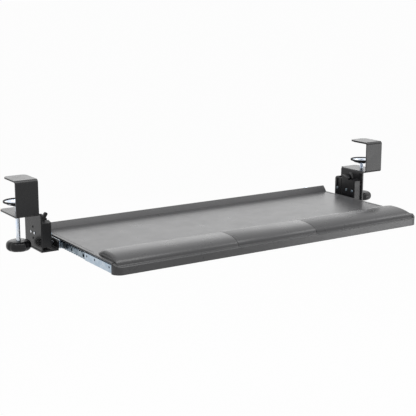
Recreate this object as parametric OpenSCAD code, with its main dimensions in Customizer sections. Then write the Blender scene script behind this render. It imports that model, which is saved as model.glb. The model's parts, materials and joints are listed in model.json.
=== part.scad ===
// Clamp-on sliding keyboard tray with a moulded palm rest.
// X runs across the tray, Y runs to the rear, Z is up. Sizes are measured from the tray's
// front bottom edge, and the finished model is then placed so that its origin lies on the
// front edge of the desk, at the height of the desk's top face, midway between the clamps.

/* [Tray] */
// Width of the tray over its side edges
tray_w = 700; // [560:5:800]
// Depth of the tray, front face to back face
tray_d = 306; // [285:1:330]
// Height from the bottom of the front rail to the top of the panel
tray_h = 20.3; // [19.8:0.1:26]
// Thickness of the tray panel
panel_t = 2.4; // [2:0.1:2.8]
// How far the panel overhangs the slides' mounting face
overhang = 7.35; // [6:0.05:7.6]
// Wall of the front rail
front_t = 2.4; // [1.6:0.1:3]
// Radius of the tray's front corners, seen from above
corner_r = 16; // [12:0.5:20]
// Height of the ledge below the palm rest
ledge_z = 14.5; // [13:0.1:15.5]
// Depth of that ledge
ledge_d = 9; // [7:0.5:11]
// Height of the rear stop strip above the panel
lip_h = 11.1; // [6:0.1:16]
// Depth of the rear stop strip
lip_d = 12; // [9:0.5:16]
// Thickness of the folded steel side rails
side_t = 2; // [1.5:0.1:2.5]
// Width of a cross brace
brace_w = 26; // [18:1:36]
// Height of a cross brace
brace_h = 9; // [6:0.5:11]
// Sheet thickness of a cross brace
brace_t = 1.2; // [0.8:0.1:1.6]

/* [Palm rest] */
// Depth of the palm rest from the front face
palm_d = 100; // [85:1:120]
// Height of the crest above the panel
palm_rise = 9.7; // [7:0.1:14]
// Distance of the crest from the front face
crest_y = 59; // [48:1:66]
// Fullness of the front curve: 2 is an ellipse, more is squarer
palm_power = 2.4; // [2:0.1:3]
// Width of the middle segment
palm_mid_w = 182; // [120:2:260]
// Seam between two segments
palm_seam = 0.5; // [0.3:0.1:1]
// Thickness of the palm rest's foot on the front rail
palm_foot = 1.5; // [1:0.1:2.5]
// Radius of the palm rest's outer ends
palm_end_r = 5; // [3:0.5:6.5]

/* [Slides] */
// Height of the outer slide member
rail_h = 16.9; // [16:0.1:17.2]
// Depth of the closed slide, from the side rail to the bracket
rail_depth = 8.85; // [8.7:0.05:9.4]
// Sheet thickness of both slide members
rail_t = 1; // [0.8:0.05:1.1]
// Height of the inner slide member's web
inner_h = 14; // [13.4:0.1:14.4]
// Length of the outer slide member
outer_len = 150; // [130:1:165]
// Distance from the inner slide member's rear end to the tray's back face
slide_back = 8.7; // [6:0.1:20]
// Length of the ball cage
cage_len = 150; // [120:1:150]
// Sheet thickness of the ball cage
cage_t = 0.6; // [0.5:0.05:0.7]
// Diameter of the balls
ball_d = 2.5; // [2.2:0.05:2.6]
// Distance between two balls in a row
ball_pitch = 9.5; // [6:0.25:14]
// Sheet thickness of the cover plate on the inner slide member's front
cover_t = 0.6; // [0.4:0.05:0.7]
// How far the tray slides back under the desk
slide_travel = 200; // [150:1:200]

/* [Clamps] */
// Thickness of the clamp's bent steel
steel_t = 3; // [2.5:0.1:3.5]
// Width of the clamp
clamp_w = 44; // [38:1:56]
// Height of the clamp over both jaws
clamp_h = 68.5; // [62:0.5:90]
// Reach of the top jaw, from the clamp's front face
top_reach = 58; // [50:1:70]
// Reach of the lower jaw, from the clamp's front face
low_reach = 84; // [80:1:100]
// Distance of the clamp's front face from the tray's front face
clamp_y = 210; // [208:1:212]
// Gap between the slide bracket and the lock housing's inner face
lock_gap = 12; // [11:0.5:24]
// Outer radius of the bend at the top jaw
top_bend_r = 6; // [5:0.5:9]
// Outer radius of the other bends
low_bend_r = 4.6; // [4.2:0.1:6]
// Radius of the jaws' rear corners
jaw_corner_r = 9; // [4:0.5:14]
// Height of the lower jaw's top face above the tray's bottom
jaw_z = 73; // [70:0.5:80]
// Thickness of the rubber pad under the top jaw
jaw_pad_t = 1.5; // [1:0.1:2.5]

/* [Clamp screws] */
// Diameter of the clamp screw
screw_d = 8; // [7:0.5:9]
// Distance of the screw from the clamp's front face
screw_back = 43; // [38:0.5:46]
// Height of the pressure pad's rim above the lower jaw
pad_lift = 21.6; // [20:0.2:24]
// Outer diameter of the pressure pad's dish
pad_d = 49; // [40:1:54]
// Thickness of the dish's sheet
pad_t = 1.3; // [1:0.1:1.6]
// Radial thickness of the rubber ring on the dish
ring_w = 3; // [2:0.1:3.6]
// Diameter of the knob
knob_d = 47.6; // [40:0.2:52]
// Height of the knob
knob_h = 18.5; // [16:0.5:21]
// Number of finger hollows round the knob
knob_lobes = 8; // [5:1:10]
// Depth of a finger hollow
knob_scallop = 1.8; // [1:0.1:2.4]

/* [Height lock] */
// Width of the lock housing
lock_w = 20.5; // [19:0.1:21.5]
// Depth of the lock housing
lock_d = 43.7; // [42.5:0.1:45]
// Height of the lock housing's front top edge above the tray's bottom
lock_top = 52.5; // [51:0.1:55]
// Rise of the housing's top face from its front to its back
lock_slope = 9; // [6:0.5:10]
// Depth of the guide post behind the housing
post_d = 21; // [20:0.5:24]
// Height of the guide post's top above the tray's bottom
post_top = 55; // [54:0.5:57]
// How far the tray drops from its highest setting
height_travel = 20; // [12:1:20]
// Thickness of the lever's arm
lever_t = 6; // [4.5:0.1:6.4]
// Length of the lever's arm from its pivot
lever_len = 20.5; // [16:0.5:24]
// Lean of the lever at rest, from upright towards the tray
lever_lean = 31; // [28:1:34]
// Diameter of the lever's pivot pin
pin_d = 3; // [2.6:0.1:3.2]

/* [Hidden] */
$fn = 48;
eps = 0.01;
// Clearances: a running fit, a gap between moving pieces, and room round a screw's shank
fit = 0.05;
gap = 0.3;
bolt_fit = 0.1;
// Joint between two fixed mouldings
seat = 0.1;

// Tray heights and places
panel_z = tray_h - panel_t;
skirt_x = tray_w / 2 - overhang;
side_flange_w = 16;
side_drop = 0.6;
foot_z = ledge_z - palm_foot;
front_rise = tray_h + palm_rise - ledge_z;
// Depth at which the palm rest's front curve reaches a height
function front_curve_y(z) = crest_y - (crest_y - ledge_d)
    * pow(1 - pow((z - ledge_z) / front_rise, palm_power), 1 / palm_power);
// Height of the web that joins the palm rest's foot to its body
foot_web = 2.2;
foot_back = front_curve_y(tray_h + foot_web);
lip_front = tray_d - lip_d;
lip_wall = 2.2;
lip_skirt_z = 6;
front_flange = 14;
brace_lip = 7;
brace_ys = [120, tray_d - 66];
brace_half = skirt_x - side_flange_w - 1;
// Screws that hold the frame under the panel
small_screw_d = 3;
small_head_d = 6;
small_head_h = 1.6;
small_hole_d = small_screw_d + 2 * bolt_fit;
// Room beyond a screw's tip in a blind hole
hole_more = 0.4;
frame_bite = panel_t - 0.6;
side_screw_ys = [40, 150, tray_d - 24];
brace_screw_xs = [-0.82, -0.27, 0.27, 0.82];
// Palm rest screws, outwards from the middle: one in the middle segment, three in a side segment
palm_seam_in = 60;
palm_second = palm_mid_w / 2 + palm_seam_in;
palm_last = skirt_x - side_flange_w - small_head_d;
palm_screw_xs = [palm_mid_w / 4, palm_second, (palm_second + palm_last) / 2, palm_last];
palm_back_y = 80;
palm_bite = 4;
palm_front_bite = 1.8;
strip_bite = 3;
side_screw_in = side_flange_w - 5;
lip_screw_xs = [0.1, 0.5, 0.9];

// Slide section, measured outwards from the side rail and up and down from the slide's middle
rail_z = panel_z - 0.7 - rail_h / 2;
race_r = ball_d / 2 + 2 * fit;
ball_z = rail_h / 2 - rail_t - race_r;
inner_web_t = rail_t + 0.2;
ball_x = inner_web_t + gap + ball_d / 2 + 0.25;
inner_race_t = rail_t - 0.1;
cage_x = ball_x + race_r + inner_race_t + 0.4;
race_open = 0.55;
inner_front = max(corner_r, foot_back + seat + front_t) + gap;
inner_len = tray_d - slide_back - inner_front;
outer_front = clamp_y + 9;
cage_front = outer_front - slide_travel / 2 - 1.4;
ball_count = floor((cage_len - ball_pitch) / ball_pitch) + 1;
first_ball = cage_front + (cage_len - (ball_count - 1) * ball_pitch) / 2;
// The inner member's screws, three of them behind the holes in its cover plate
cover_hole_ys = [8, 62.5, 93];
rail_screw_ys = concat(cover_hole_ys, inner_len - 15.3);
rail_screw_d = 3;
rail_hole_d = rail_screw_d + 2 * bolt_fit;
rail_head_d = 5.2;
rail_head_h = 0.9;
// Cover plate outside the cage's track, with holes that show what lies behind
cover_x = cage_x + cage_t + gap;
cover_half = rail_h / 2 - rail_t - gap;
cover_len = cage_front - 2 * gap - inner_front;
cover_hole_up = 2;
cover_hole_d = 4.4;
cage_hole_ys = [7, 55, 75, 130];
cage_hole_d = 7;
// Steel left on each side of a ball, and height of the band along the cage's middle
cage_finger = 1.1;
cage_band = cage_hole_d + 1.6;

// Slide bracket and what stands on it
bracket_x = skirt_x + rail_depth;
bracket_t = 3;
bracket_z = -1;
bracket_front = clamp_y + 4;
bracket_wall_front = outer_front + 1.7;
bracket_wall_len = 126;
bracket_base_len = 86;
bracket_wall_h = 18;
bracket_bend = 4;
bracket_bite = 5;
bracket_head_h = 1.4;
rivet_ys = [24, 112];
rivet_d = 4;
rivet_hole_d = rivet_d + 2 * bolt_fit;
rivet_head_d = 7;
rivet_head_h = 1.2;
flat_head_d = rivet_d + 0.6;
flat_head_h = 0.5;
round_head_d = rivet_d + 1.6;
round_head_h = 1;

// Clamp places
lock_x = bracket_x + bracket_t + lock_gap;
hanger_x = lock_x + lock_w;
clamp_x0 = hanger_x + steel_t + 4;
clamp_x1 = clamp_x0 + clamp_w;
screw_x = clamp_x0 + clamp_w / 2 + 2.5;
screw_y = clamp_y + screw_back;
jaw_under = jaw_z - steel_t;
clamp_top = jaw_under + clamp_h;
hanger_front = clamp_y + 4;
hanger_low = bracket_z + bracket_t + 1;
desk_y = clamp_y + steel_t;
desk_z = clamp_top - steel_t - jaw_pad_t;
nut_h = 6.5;
nut_af = 13;

// Screw, pad and knob heights
pad_rim = jaw_z + pad_lift;
pad_hub_z = pad_rim - 10.4;
pad_hub_r = 8.5;
pad_hub_h = 5;
ring_h = 3.4;
ring_cap = 1.5;
screw_r = screw_d / 2;
knob_r = knob_d / 2;
knob_z = 0.2;
knob_socket = 15;
scallop_r = 10;

// Height lock places
lock_y = clamp_y + 8;
lock_z = 6.5;
lock_back = lock_y + lock_d;
post_y = lock_back + gap;
hanger_back = post_y + post_d + 4;
post_w = lock_w - 2 * gap;
post_wall = 3.2;
post_front_wall = post_wall + 0.8;
stop_bite = 5.4;
key_neck = 4.4;
key_head = post_w - 2 * post_wall - 2 * gap;
key_z0 = 9.2;
key_z1 = 50;
stop_z = 30;
stop_d = 4;
stop_head_d = 6.6;
stop_head_h = 1.4;
bar_t = 4.7;
pivot_x = hanger_x - bar_t - 2.8;
pivot_z = lock_top - 1;
lever_y = lock_y + 14.2;
lever_hub_r = 5;
nose_r = 2.7;
nose_drop = 7;
bar_w = 13;
bar_y = lock_y + 7;
bar_z1 = pivot_z - lever_hub_r - 1.6;
bolt_y = lock_y + 33;
bolt_z = 30.8;
bolt_side = 7.5;
bolt_rise = 10.5;
face_screw_ys = [6, 25];
face_screw_z = 30;
spring_wire = 0.8;
spring_turns = 5;
spring_room = pin_d + 5;
spring_len = 9;
pin_len = 30;
pin_front = 3;
spring_start = lever_y + lever_t - lock_y - pin_front;
housing_bite = 8;
face_bite = 7;
stop_y = post_y + post_d - 9;

plastic_grey = [0.34, 0.34, 0.35];
black = [0.12, 0.12, 0.13];
steel_black = [0.2, 0.2, 0.21];
zinc = [0.72, 0.76, 0.82];
chrome = [0.82, 0.85, 0.9];
rubber = [0.08, 0.08, 0.08];

// Moves a point of the tray's own frame to the finished frame
module place() {
    translate([0, -desk_y, -desk_z]) children();
}

module right_side() {
    place() children();
}

module left_side() {
    place() mirror([1, 0, 0]) children();
}

module both_sides() {
    right_side() children();
    left_side() children();
}

// A profile drawn in X and Z, carried along Y from y0 for a length
module along_y(y0, length) {
    translate([0, y0 + length, 0]) rotate([90, 0, 0]) linear_extrude(length) children();
}

// A profile drawn in Y and Z, carried along X from x0 for a length
module along_x(x0, length) {
    translate([x0, 0, 0]) rotate([90, 0, 90]) linear_extrude(length) children();
}

function arc(cx, cy, r, a0, a1, n) =
    [for (i = [0:n]) [cx + r * cos(a0 + (a1 - a0) * i / n), cy + r * sin(a0 + (a1 - a0) * i / n)]];

// A quarter ring that bends a sheet of thickness t through a right angle
module bend_2d(r, t) {
    intersection() {
        difference() {
            circle(r);
            circle(r - t);
        }
        square(r + 1);
    }
}

// A pan head with its shank above it, standing on its head's underside plane at z = 0
module pan_screw(shank_d, head_d, head_h, length) {
    translate([0, 0, -eps]) cylinder(d = shank_d, h = length + eps);
    translate([0, 0, -head_h]) cylinder(d = head_d, h = head_h);
}

/* Tray */

// Plan of the tray with its rounded front corners
module tray_plan(inset) {
    w = tray_w / 2 - inset;
    r = corner_r - inset;
    for (s = [-1, 1])
        scale([s, 1]) translate([0, inset]) {
            translate([0, r]) square([w, tray_d - inset - r]);
            square([w - r, r + 1]);
            translate([w - r, r]) circle(r, $fn = 72);
        }
}

module frame_screw_spots() {
    for (s = [-1, 1], y = side_screw_ys)
        translate([s * (skirt_x - side_screw_in), y, panel_z - side_t]) children();
}

module brace_screw_spots() {
    for (y = brace_ys, f = brace_screw_xs, s = [-1, 1])
        translate([f * brace_half, y + s * (brace_w / 2 + brace_lip / 2), panel_z - brace_t])
            children();
}

module palm_screw_spots() {
    for (s = [-1, 1], x = palm_screw_xs) translate([s * x, palm_back_y, panel_z]) children();
}

module palm_front_spots() {
    for (s = [-1, 1], x = palm_screw_xs)
        translate([s * x, foot_back + front_flange / 2 + 1, panel_z - front_t]) children();
}

module strip_screw_spots() {
    for (s = [-1, 1], f = lip_screw_xs)
        translate([s * f * tray_w / 2, lip_front + lip_d * 0.55, panel_z]) children();
}

module tray_panel() {
    color(plastic_grey) difference() {
        translate([-tray_w / 2, foot_back, panel_z])
            cube([tray_w, tray_d - lip_wall - foot_back, panel_t]);
        frame_screw_spots() cylinder(d = small_hole_d, h = side_t + frame_bite + bolt_fit);
        brace_screw_spots() cylinder(d = small_hole_d, h = brace_t + frame_bite + bolt_fit);
        palm_screw_spots() translate([0, 0, -1]) cylinder(d = small_hole_d, h = panel_t + 2);
        palm_front_spots() cylinder(d = small_hole_d, h = front_t + panel_t + 1);
        strip_screw_spots() translate([0, 0, -1]) cylinder(d = small_hole_d, h = panel_t + 2);
    }
}

module front_rail() {
    riser_y = foot_back + seat;
    riser_half = skirt_x - side_t;
    flange_half = riser_half - side_flange_w;
    block = 14;
    color(plastic_grey) difference() {
        union() {
            // Front wall, wrapped round both corners
            linear_extrude(foot_z) intersection() {
                difference() {
                    tray_plan(0);
                    tray_plan(front_t);
                }
                translate([-tray_w, 0]) square([2 * tray_w, corner_r]);
            }
            // Ledge that carries the palm rest's foot
            translate([0, 0, foot_z - front_t]) linear_extrude(front_t) intersection() {
                tray_plan(0);
                translate([-tray_w, 0]) square([2 * tray_w, riser_y + front_t]);
            }
            // Blocks that close the corners in front of the slides
            linear_extrude(panel_z) intersection() {
                tray_plan(0);
                for (s = [-1, 1]) scale([s, 1]) translate([skirt_x - block, riser_y])
                    square([block + overhang + 1, inner_front - gap - riser_y]);
            }
            // Riser and flange under the panel
            translate([-riser_half, riser_y, foot_z - front_t])
                cube([2 * riser_half, front_t, panel_z - foot_z + front_t]);
            translate([-flange_half, riser_y, panel_z - front_t])
                cube([2 * flange_half, front_flange + front_t, front_t]);
        }
        palm_front_spots() translate([0, 0, -1])
            cylinder(d = small_hole_d, h = front_t + 2);
    }
}

// Front curve of the palm rest, a super-ellipse from the ledge to the crest
function palm_front(n) = let (span = crest_y - ledge_d)
    [for (i = [1:n]) let (a = 90 * i / n, u = pow(cos(a), 2 / palm_power))
        [crest_y - span * u, ledge_z + front_rise * pow(sin(a), 2 / palm_power)]];

// Rear curve of the palm rest, a falling cosine that leaves the crest slowly
function palm_rear(n) = [for (i = [1:n]) let (t = i / n)
    [crest_y + (palm_d - crest_y) * t, tray_h + palm_rise * (1 + cos(180 * pow(t, 1.5))) / 2]];

module palm_profile() {
    cove = 2;
    edge = 0.6;
    polygon(concat(
        [[0, foot_z], [0, ledge_z - edge], [edge, ledge_z]],
        arc(ledge_d - cove, ledge_z + cove, cove, -90, -20, 4),
        [for (p = palm_front(16)) if (p[1] > ledge_z + cove) p],
        palm_rear(12),
        [[foot_back, tray_h], [foot_back, foot_z]]));
}

module palm_solid(x0, x1) {
    top = tray_h + palm_rise;
    e = palm_end_r;
    // The end rounding starts this far above the crest
    above = 0.3;
    difference() {
        along_x(x0, x1 - x0) palm_profile();
        for (s = [-1, 1]) scale([s, 1, 1]) translate([tray_w / 2, 0, 0]) {
            // Front corner, seen from above
            difference() {
                translate([-corner_r, -1, 0]) cube([corner_r + 1, corner_r + 1, top]);
                translate([-corner_r, corner_r, -1]) cylinder(r = corner_r, h = top + 2, $fn = 72);
            }
            // Rounded outer end
            along_y(-1, palm_d + 2) difference() {
                translate([-e, top + above - e]) square([e + 1, e + 1]);
                translate([-e, top + above - e]) circle(e);
            }
        }
        palm_screw_spots() cylinder(d = small_hole_d, h = panel_t + palm_bite + hole_more);
        palm_front_spots() cylinder(d = small_hole_d, h = front_t + panel_t + palm_front_bite + hole_more);
    }
}

module palm_segment(x0, x1) {
    color(plastic_grey) palm_solid(x0, x1);
}

module rear_stop_strip() {
    top = tray_h + lip_h;
    r = 1.1;
    back = tray_d - lip_wall;
    color(plastic_grey) difference() {
        union() {
            along_x(-tray_w / 2, tray_w) polygon(concat(
                [[lip_front, tray_h]],
                arc(back + 0.4, top - r, r, 138, 90, 4),
                arc(tray_d - r, top - r, r, 90, 0, 4),
                [[tray_d, panel_z], [back, panel_z], [back, tray_h]]));
            // Skirt behind the panel, which ends inside the outer slides so that it can pass them
            along_x(-skirt_x, 2 * skirt_x) translate([back, lip_skirt_z])
                square([lip_wall, panel_z + 1 - lip_skirt_z]);
        }
        strip_screw_spots() cylinder(d = small_hole_d, h = panel_t + strip_bite + hole_more);
    }
}

module side_rail() {
    z0 = side_drop;
    color(steel_black) difference() {
        along_y(inner_front, inner_len) {
            translate([skirt_x - side_t, z0]) square([side_t, panel_z - z0]);
            translate([skirt_x - side_flange_w, panel_z - side_t]) square([side_flange_w, side_t]);
        }
        for (y = side_screw_ys)
            translate([skirt_x - side_screw_in, y, panel_z - side_t - 1])
                cylinder(d = small_hole_d, h = side_t + 2);
        rail_screw_spots() rotate([0, 90, 0])
            translate([0, 0, -side_t - 1]) cylinder(d = rail_hole_d, h = side_t + 2);
    }
}

module cross_brace(y) {
    color(steel_black) difference() {
        along_x(-brace_half, 2 * brace_half) translate([y, panel_z - brace_h]) {
            translate([-brace_w / 2, 0]) square([brace_w, brace_t]);
            for (s = [-1, 1]) scale([s, 1]) {
                translate([brace_w / 2 - brace_t, 0]) square([brace_t, brace_h]);
                translate([brace_w / 2 - brace_t, brace_h - brace_t])
                    square([brace_lip + brace_t, brace_t]);
            }
        }
        brace_screw_spots() translate([0, 0, -1])
            cylinder(d = small_hole_d, h = brace_t + 2);
    }
}

module frame_screws() {
    color(zinc) {
        frame_screw_spots() pan_screw(small_screw_d, small_head_d, small_head_h, side_t + frame_bite);
        brace_screw_spots() pan_screw(small_screw_d, small_head_d, small_head_h, brace_t + frame_bite);
    }
}

module palm_rest_screws() {
    color(zinc) {
        palm_screw_spots() pan_screw(small_screw_d, small_head_d, small_head_h, panel_t + palm_bite);
        palm_front_spots() pan_screw(small_screw_d, small_head_d, small_head_h,
                                     front_t + panel_t + palm_front_bite);
    }
}

module rear_strip_screws() {
    color(zinc) strip_screw_spots()
        pan_screw(small_screw_d, small_head_d, small_head_h, panel_t + strip_bite);
}

/* Slides */

module rail_screw_spots() {
    for (y = rail_screw_ys) translate([skirt_x, inner_front + y, rail_z]) children();
}

// Section of the inner member: a flat web and two hollows that the balls run in
module inner_profile() {
    depth = ball_x + race_r + inner_race_t;
    translate([0, -inner_h / 2]) square([inner_web_t, inner_h]);
    for (s = [-1, 1]) scale([1, s]) difference() {
        intersection() {
            translate([ball_x, ball_z]) circle(race_r + inner_race_t);
            square([depth, ball_z - race_open]);
        }
        translate([ball_x, ball_z]) circle(race_r);
    }
}

// Section of the outer member: a web and two rims that close over the balls
module outer_profile() {
    mouth = inner_web_t + gap + 0.1;
    h = rail_h / 2;
    c = 1;
    translate([rail_depth - rail_t, -h + c]) square([rail_t, rail_h - 2 * c]);
    for (s = [-1, 1]) scale([1, s]) {
        difference() {
            intersection() {
                union() {
                    translate([ball_x, ball_z]) circle(race_r + rail_t);
                    translate([ball_x, h - rail_t]) square([rail_depth - ball_x - c, rail_t]);
                }
                translate([mouth, ball_z + race_open]) square([rail_depth, h]);
            }
            translate([ball_x, ball_z]) circle(race_r);
        }
        intersection() {
            translate([rail_depth - c - rail_t, h - c - rail_t]) bend_2d(rail_t + c, rail_t);
            square([rail_depth, h]);
        }
    }
}

// Section of the ball cage: a web and two flanges at the level of the balls
module cage_profile() {
    half = ball_z + cage_t / 2;
    x0 = inner_web_t + 2 * gap;
    difference() {
        translate([x0, -half]) square([cage_x + cage_t - x0, 2 * half]);
        translate([x0 - 1, -half + cage_t]) square([cage_x - x0 + 1, 2 * (half - cage_t)]);
    }
}

module inner_slide() {
    color(zinc) difference() {
        translate([skirt_x, 0, rail_z]) {
            along_y(inner_front, inner_len) inner_profile();
            // Cover plate, joined to the web by a return at its front end
            along_y(inner_front, cover_len) translate([cover_x, -cover_half])
                square([cover_t, 2 * cover_half]);
            along_y(inner_front, cover_t) translate([0, -cover_half])
                square([cover_x + cover_t, 2 * cover_half]);
        }
        for (y = cover_hole_ys) translate([skirt_x + cover_x - gap / 2, inner_front + y,
                                       rail_z + cover_hole_up])
            rotate([0, 90, 0]) cylinder(d = cover_hole_d, h = cover_t + gap);
        rail_screw_spots() rotate([0, 90, 0]) translate([0, 0, -1])
            cylinder(d = rail_hole_d, h = inner_web_t + 2);
    }
}

module inner_slide_screws() {
    color(black) for (m = [0, 1]) mirror([m, 0, 0]) rail_screw_spots()
        translate([inner_web_t, 0, 0]) rotate([0, -90, 0])
            pan_screw(rail_screw_d, rail_head_d, rail_head_h, inner_web_t + side_t + 1);
}

module ball_spots() {
    for (i = [0:ball_count - 1], s = [-1, 1])
        translate([skirt_x + ball_x, first_ball + i * ball_pitch, rail_z + s * ball_z]) children();
}

module ball_cage() {
    hole_r = ball_d / 2 + fit;
    opening = ball_pitch - 2 * (hole_r + cage_finger);
    color(zinc) difference() {
        translate([skirt_x, 0, rail_z]) along_y(cage_front, cage_len) cage_profile();
        ball_spots() cylinder(r = hole_r, h = 2, center = true, $fn = 24);
        // Openings between the balls, above and below the band
        translate([skirt_x, 0, rail_z]) for (i = [0:ball_count - 2], s = [-1, 1]) scale([1, 1, s])
            translate([0, first_ball + (i + 0.5) * ball_pitch - opening / 2, cage_band / 2])
                cube([cage_x + cage_t + 1, opening, rail_h / 2]);
        for (y = cage_hole_ys) translate([skirt_x + cage_x - 1, cage_front + y, rail_z])
            rotate([0, 90, 0]) cylinder(d = cage_hole_d, h = cage_t + 2);
    }
}

module slide_balls() {
    color(chrome) ball_spots() sphere(d = ball_d, $fn = 24);
}

module slide_rivet_spots() {
    for (y = rivet_ys) translate([bracket_x - rail_t, outer_front + y, rail_z]) children();
}

module outer_slide() {
    color(zinc) difference() {
        translate([skirt_x, 0, rail_z]) along_y(outer_front, outer_len) outer_profile();
        slide_rivet_spots() rotate([0, 90, 0]) translate([0, 0, -1])
            cylinder(d = rivet_hole_d, h = rail_t + 2);
    }
}

module outer_slide_rivets() {
    inner_head = 0.4;
    color(zinc) for (m = [0, 1]) mirror([m, 0, 0]) slide_rivet_spots() rotate([0, 90, 0]) {
        translate([0, 0, -inner_head]) cylinder(d = rivet_head_d, h = inner_head);
        translate([0, 0, -eps]) cylinder(d = rivet_d, h = rail_t + bracket_t + 2 * eps);
        translate([0, 0, rail_t + bracket_t]) cylinder(d = rivet_head_d, h = rivet_head_h);
    }
}

/* Carriage: the slide bracket and what rises from it into the height lock */

module bracket_screw_spots() {
    x = lock_x + lock_w / 2;
    for (p = [[x - 4, post_y + post_d - 3.4], [x + 4, post_y + post_d - 3.4],
              [hanger_x - gap - bar_t / 2, bar_y + bar_w / 2]])
        translate([p[0], p[1], bracket_z]) children();
}

module slide_bracket() {
    base_w = hanger_x + steel_t - bracket_x;
    b = bracket_bend;
    top_r = 7;
    color(steel_black) difference() {
        union() {
            // Base plate
            translate([bracket_x + b, bracket_front, bracket_z])
                cube([base_w - b, bracket_base_len, bracket_t]);
            // Bend and upright wall
            along_y(bracket_wall_front, bracket_wall_len) translate([bracket_x, bracket_z]) {
                translate([b, b]) rotate(180) bend_2d(b, bracket_t);
                translate([0, b]) square([bracket_t, bracket_wall_h - b]);
            }
        }
        // Rounded top corner at the front of the wall
        translate([bracket_x - 1, bracket_wall_front, bracket_z + bracket_wall_h]) rotate([0, 90, 0])
            difference() {
                translate([-1, -1, 0]) cube([top_r + 1, top_r + 1, bracket_t + 2]);
                translate([top_r, top_r, -1]) cylinder(r = top_r, h = bracket_t + 4);
            }
        slide_rivet_spots() rotate([0, 90, 0])
            cylinder(d = rivet_hole_d, h = rail_t + bracket_t + 2);
        bracket_screw_spots() translate([0, 0, -1])
            cylinder(d = small_hole_d, h = bracket_t + 2);
    }
}

module guide_post() {
    x0 = lock_x + gap;
    z0 = bracket_z + bracket_t;
    top_r = 5;
    cavity_y = post_y + post_front_wall;
    color(black) difference() {
        // Upright with a rounded top
        along_y(post_y, post_d) translate([x0, z0]) {
            square([post_w, post_top - z0 - top_r]);
            translate([top_r, 0]) square([post_w - 2 * top_r, post_top - z0]);
            for (x = [top_r, post_w - top_r]) translate([x, post_top - z0 - top_r]) circle(top_r);
        }
        // Slot for the housing's guide key
        translate([lock_x + lock_w / 2 - key_neck / 2 - gap, post_y - 1, key_z0 - gap])
            cube([key_neck + 2 * gap, cavity_y - post_y + 2, post_top]);
        translate([x0 + post_wall, cavity_y, key_z0 - gap])
            cube([post_w - 2 * post_wall, post_d - (cavity_y - post_y) - post_wall, post_top]);
        // Window that the stop screw travels in
        for (z = [0:height_travel / 2:height_travel])
            translate([x0 - 1, stop_y, stop_z + z]) rotate([0, 90, 0])
                cylinder(d = stop_d + 2 * gap, h = post_wall + 2);
        translate([x0 - 1, stop_y - stop_d / 2 - gap, stop_z])
            cube([post_wall + 2, stop_d + 2 * gap, height_travel]);
        bracket_screw_spots() cylinder(d = small_hole_d, h = bracket_t + bracket_bite + hole_more);
    }
}

module brake_bar() {
    z0 = bracket_z + bracket_t;
    color(zinc) difference() {
        translate([hanger_x - gap - bar_t, bar_y, z0]) cube([bar_t, bar_w, bar_z1 - z0]);
        bracket_screw_spots() cylinder(d = small_hole_d, h = bracket_t + bracket_bite + hole_more);
    }
}

module bracket_screws() {
    color(zinc) bracket_screw_spots()
        pan_screw(small_screw_d, small_head_d, bracket_head_h, bracket_t + bracket_bite);
}

/* Clamps */

// One bent strip: top jaw, upright and lower jaw, with the hanger folded down beside the tray
module clamp_bracket() {
    t = steel_t;
    y0 = clamp_y;
    low = jaw_under;
    b = low_bend_r;
    color(steel_black) difference() {
        union() {
            along_x(clamp_x0, clamp_w) {
                translate([y0, low + b]) square([t, clamp_top - low - b - top_bend_r]);
                translate([y0 + top_bend_r, clamp_top - top_bend_r])
                    mirror([1, 0]) bend_2d(top_bend_r, t);
                translate([y0 + top_bend_r, clamp_top - t]) square([top_reach - top_bend_r, t]);
                translate([y0 + b, low + b]) rotate(180) bend_2d(b, t);
                translate([y0 + b, low]) square([low_reach - b, t]);
            }
            // Hanger, folded down from the lower jaw's inner edge
            along_y(hanger_front, hanger_back - hanger_front) {
                translate([hanger_x, hanger_low]) square([t, jaw_z - b - hanger_low]);
                translate([hanger_x + b, jaw_z - b]) mirror([1, 0]) bend_2d(b, t);
                translate([hanger_x + b, low]) square([clamp_x0 - hanger_x - b + 1, t]);
            }
        }
        // Rounded rear corners of both jaws
        jaw_corner(clamp_x0, y0 + top_reach, -1, clamp_top - 2 * t, 3 * t);
        jaw_corner(clamp_x1, y0 + top_reach, 1, clamp_top - 2 * t, 3 * t);
        jaw_corner(clamp_x1, y0 + low_reach, 1, low - t, 3 * t);
        // Screw hole and the holes for the lock housing's fasteners
        translate([screw_x, screw_y, low - 1]) cylinder(d = screw_d + 1, h = t + 2);
        housing_bolt_spots() translate([0, 0, -t - 1])
            cylinder(d = rivet_hole_d, h = t + 2);
        housing_rivet_spots() translate([0, 0, -t - 1])
            cylinder(d = rivet_hole_d, h = t + 2);
    }
}

// Cuts a rounded corner at x, y; side is 1 for an outer corner and -1 for an inner one
module jaw_corner(x, y, side, z, h) {
    r = jaw_corner_r;
    translate([x, y, z]) scale([side, 1, 1]) difference() {
        translate([-r, -r, 0]) cube([r + 1, r + 1, h]);
        translate([-r, -r, -1]) cylinder(r = r, h = h + 2);
    }
}

module jaw_pad() {
    edge = 3;
    color(rubber) difference() {
        translate([clamp_x0 + edge, desk_y + edge, desk_z])
            cube([clamp_w - 2 * edge, top_reach - steel_t - 2 * edge, jaw_pad_t]);
        jaw_corner(clamp_x0 + edge, clamp_y + top_reach - edge, -1, desk_z - 1, jaw_pad_t + 2);
        jaw_corner(clamp_x1 - edge, clamp_y + top_reach - edge, 1, desk_z - 1, jaw_pad_t + 2);
    }
}

module clamp_nut() {
    color(zinc) translate([screw_x, screw_y, jaw_under - nut_h]) difference() {
        cylinder(d = nut_af / cos(30), h = nut_h, $fn = 6);
        translate([0, 0, -1]) cylinder(d = screw_d + 2 * fit, h = nut_h + 2);
    }
}

module clamp_screw() {
    color(chrome) translate([screw_x, screw_y, 0]) {
        z0 = knob_z + knob_h - knob_socket;
        translate([0, 0, z0]) cylinder(r = screw_r, h = pad_hub_z + pad_hub_h - gap - z0);
    }
}

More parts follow.
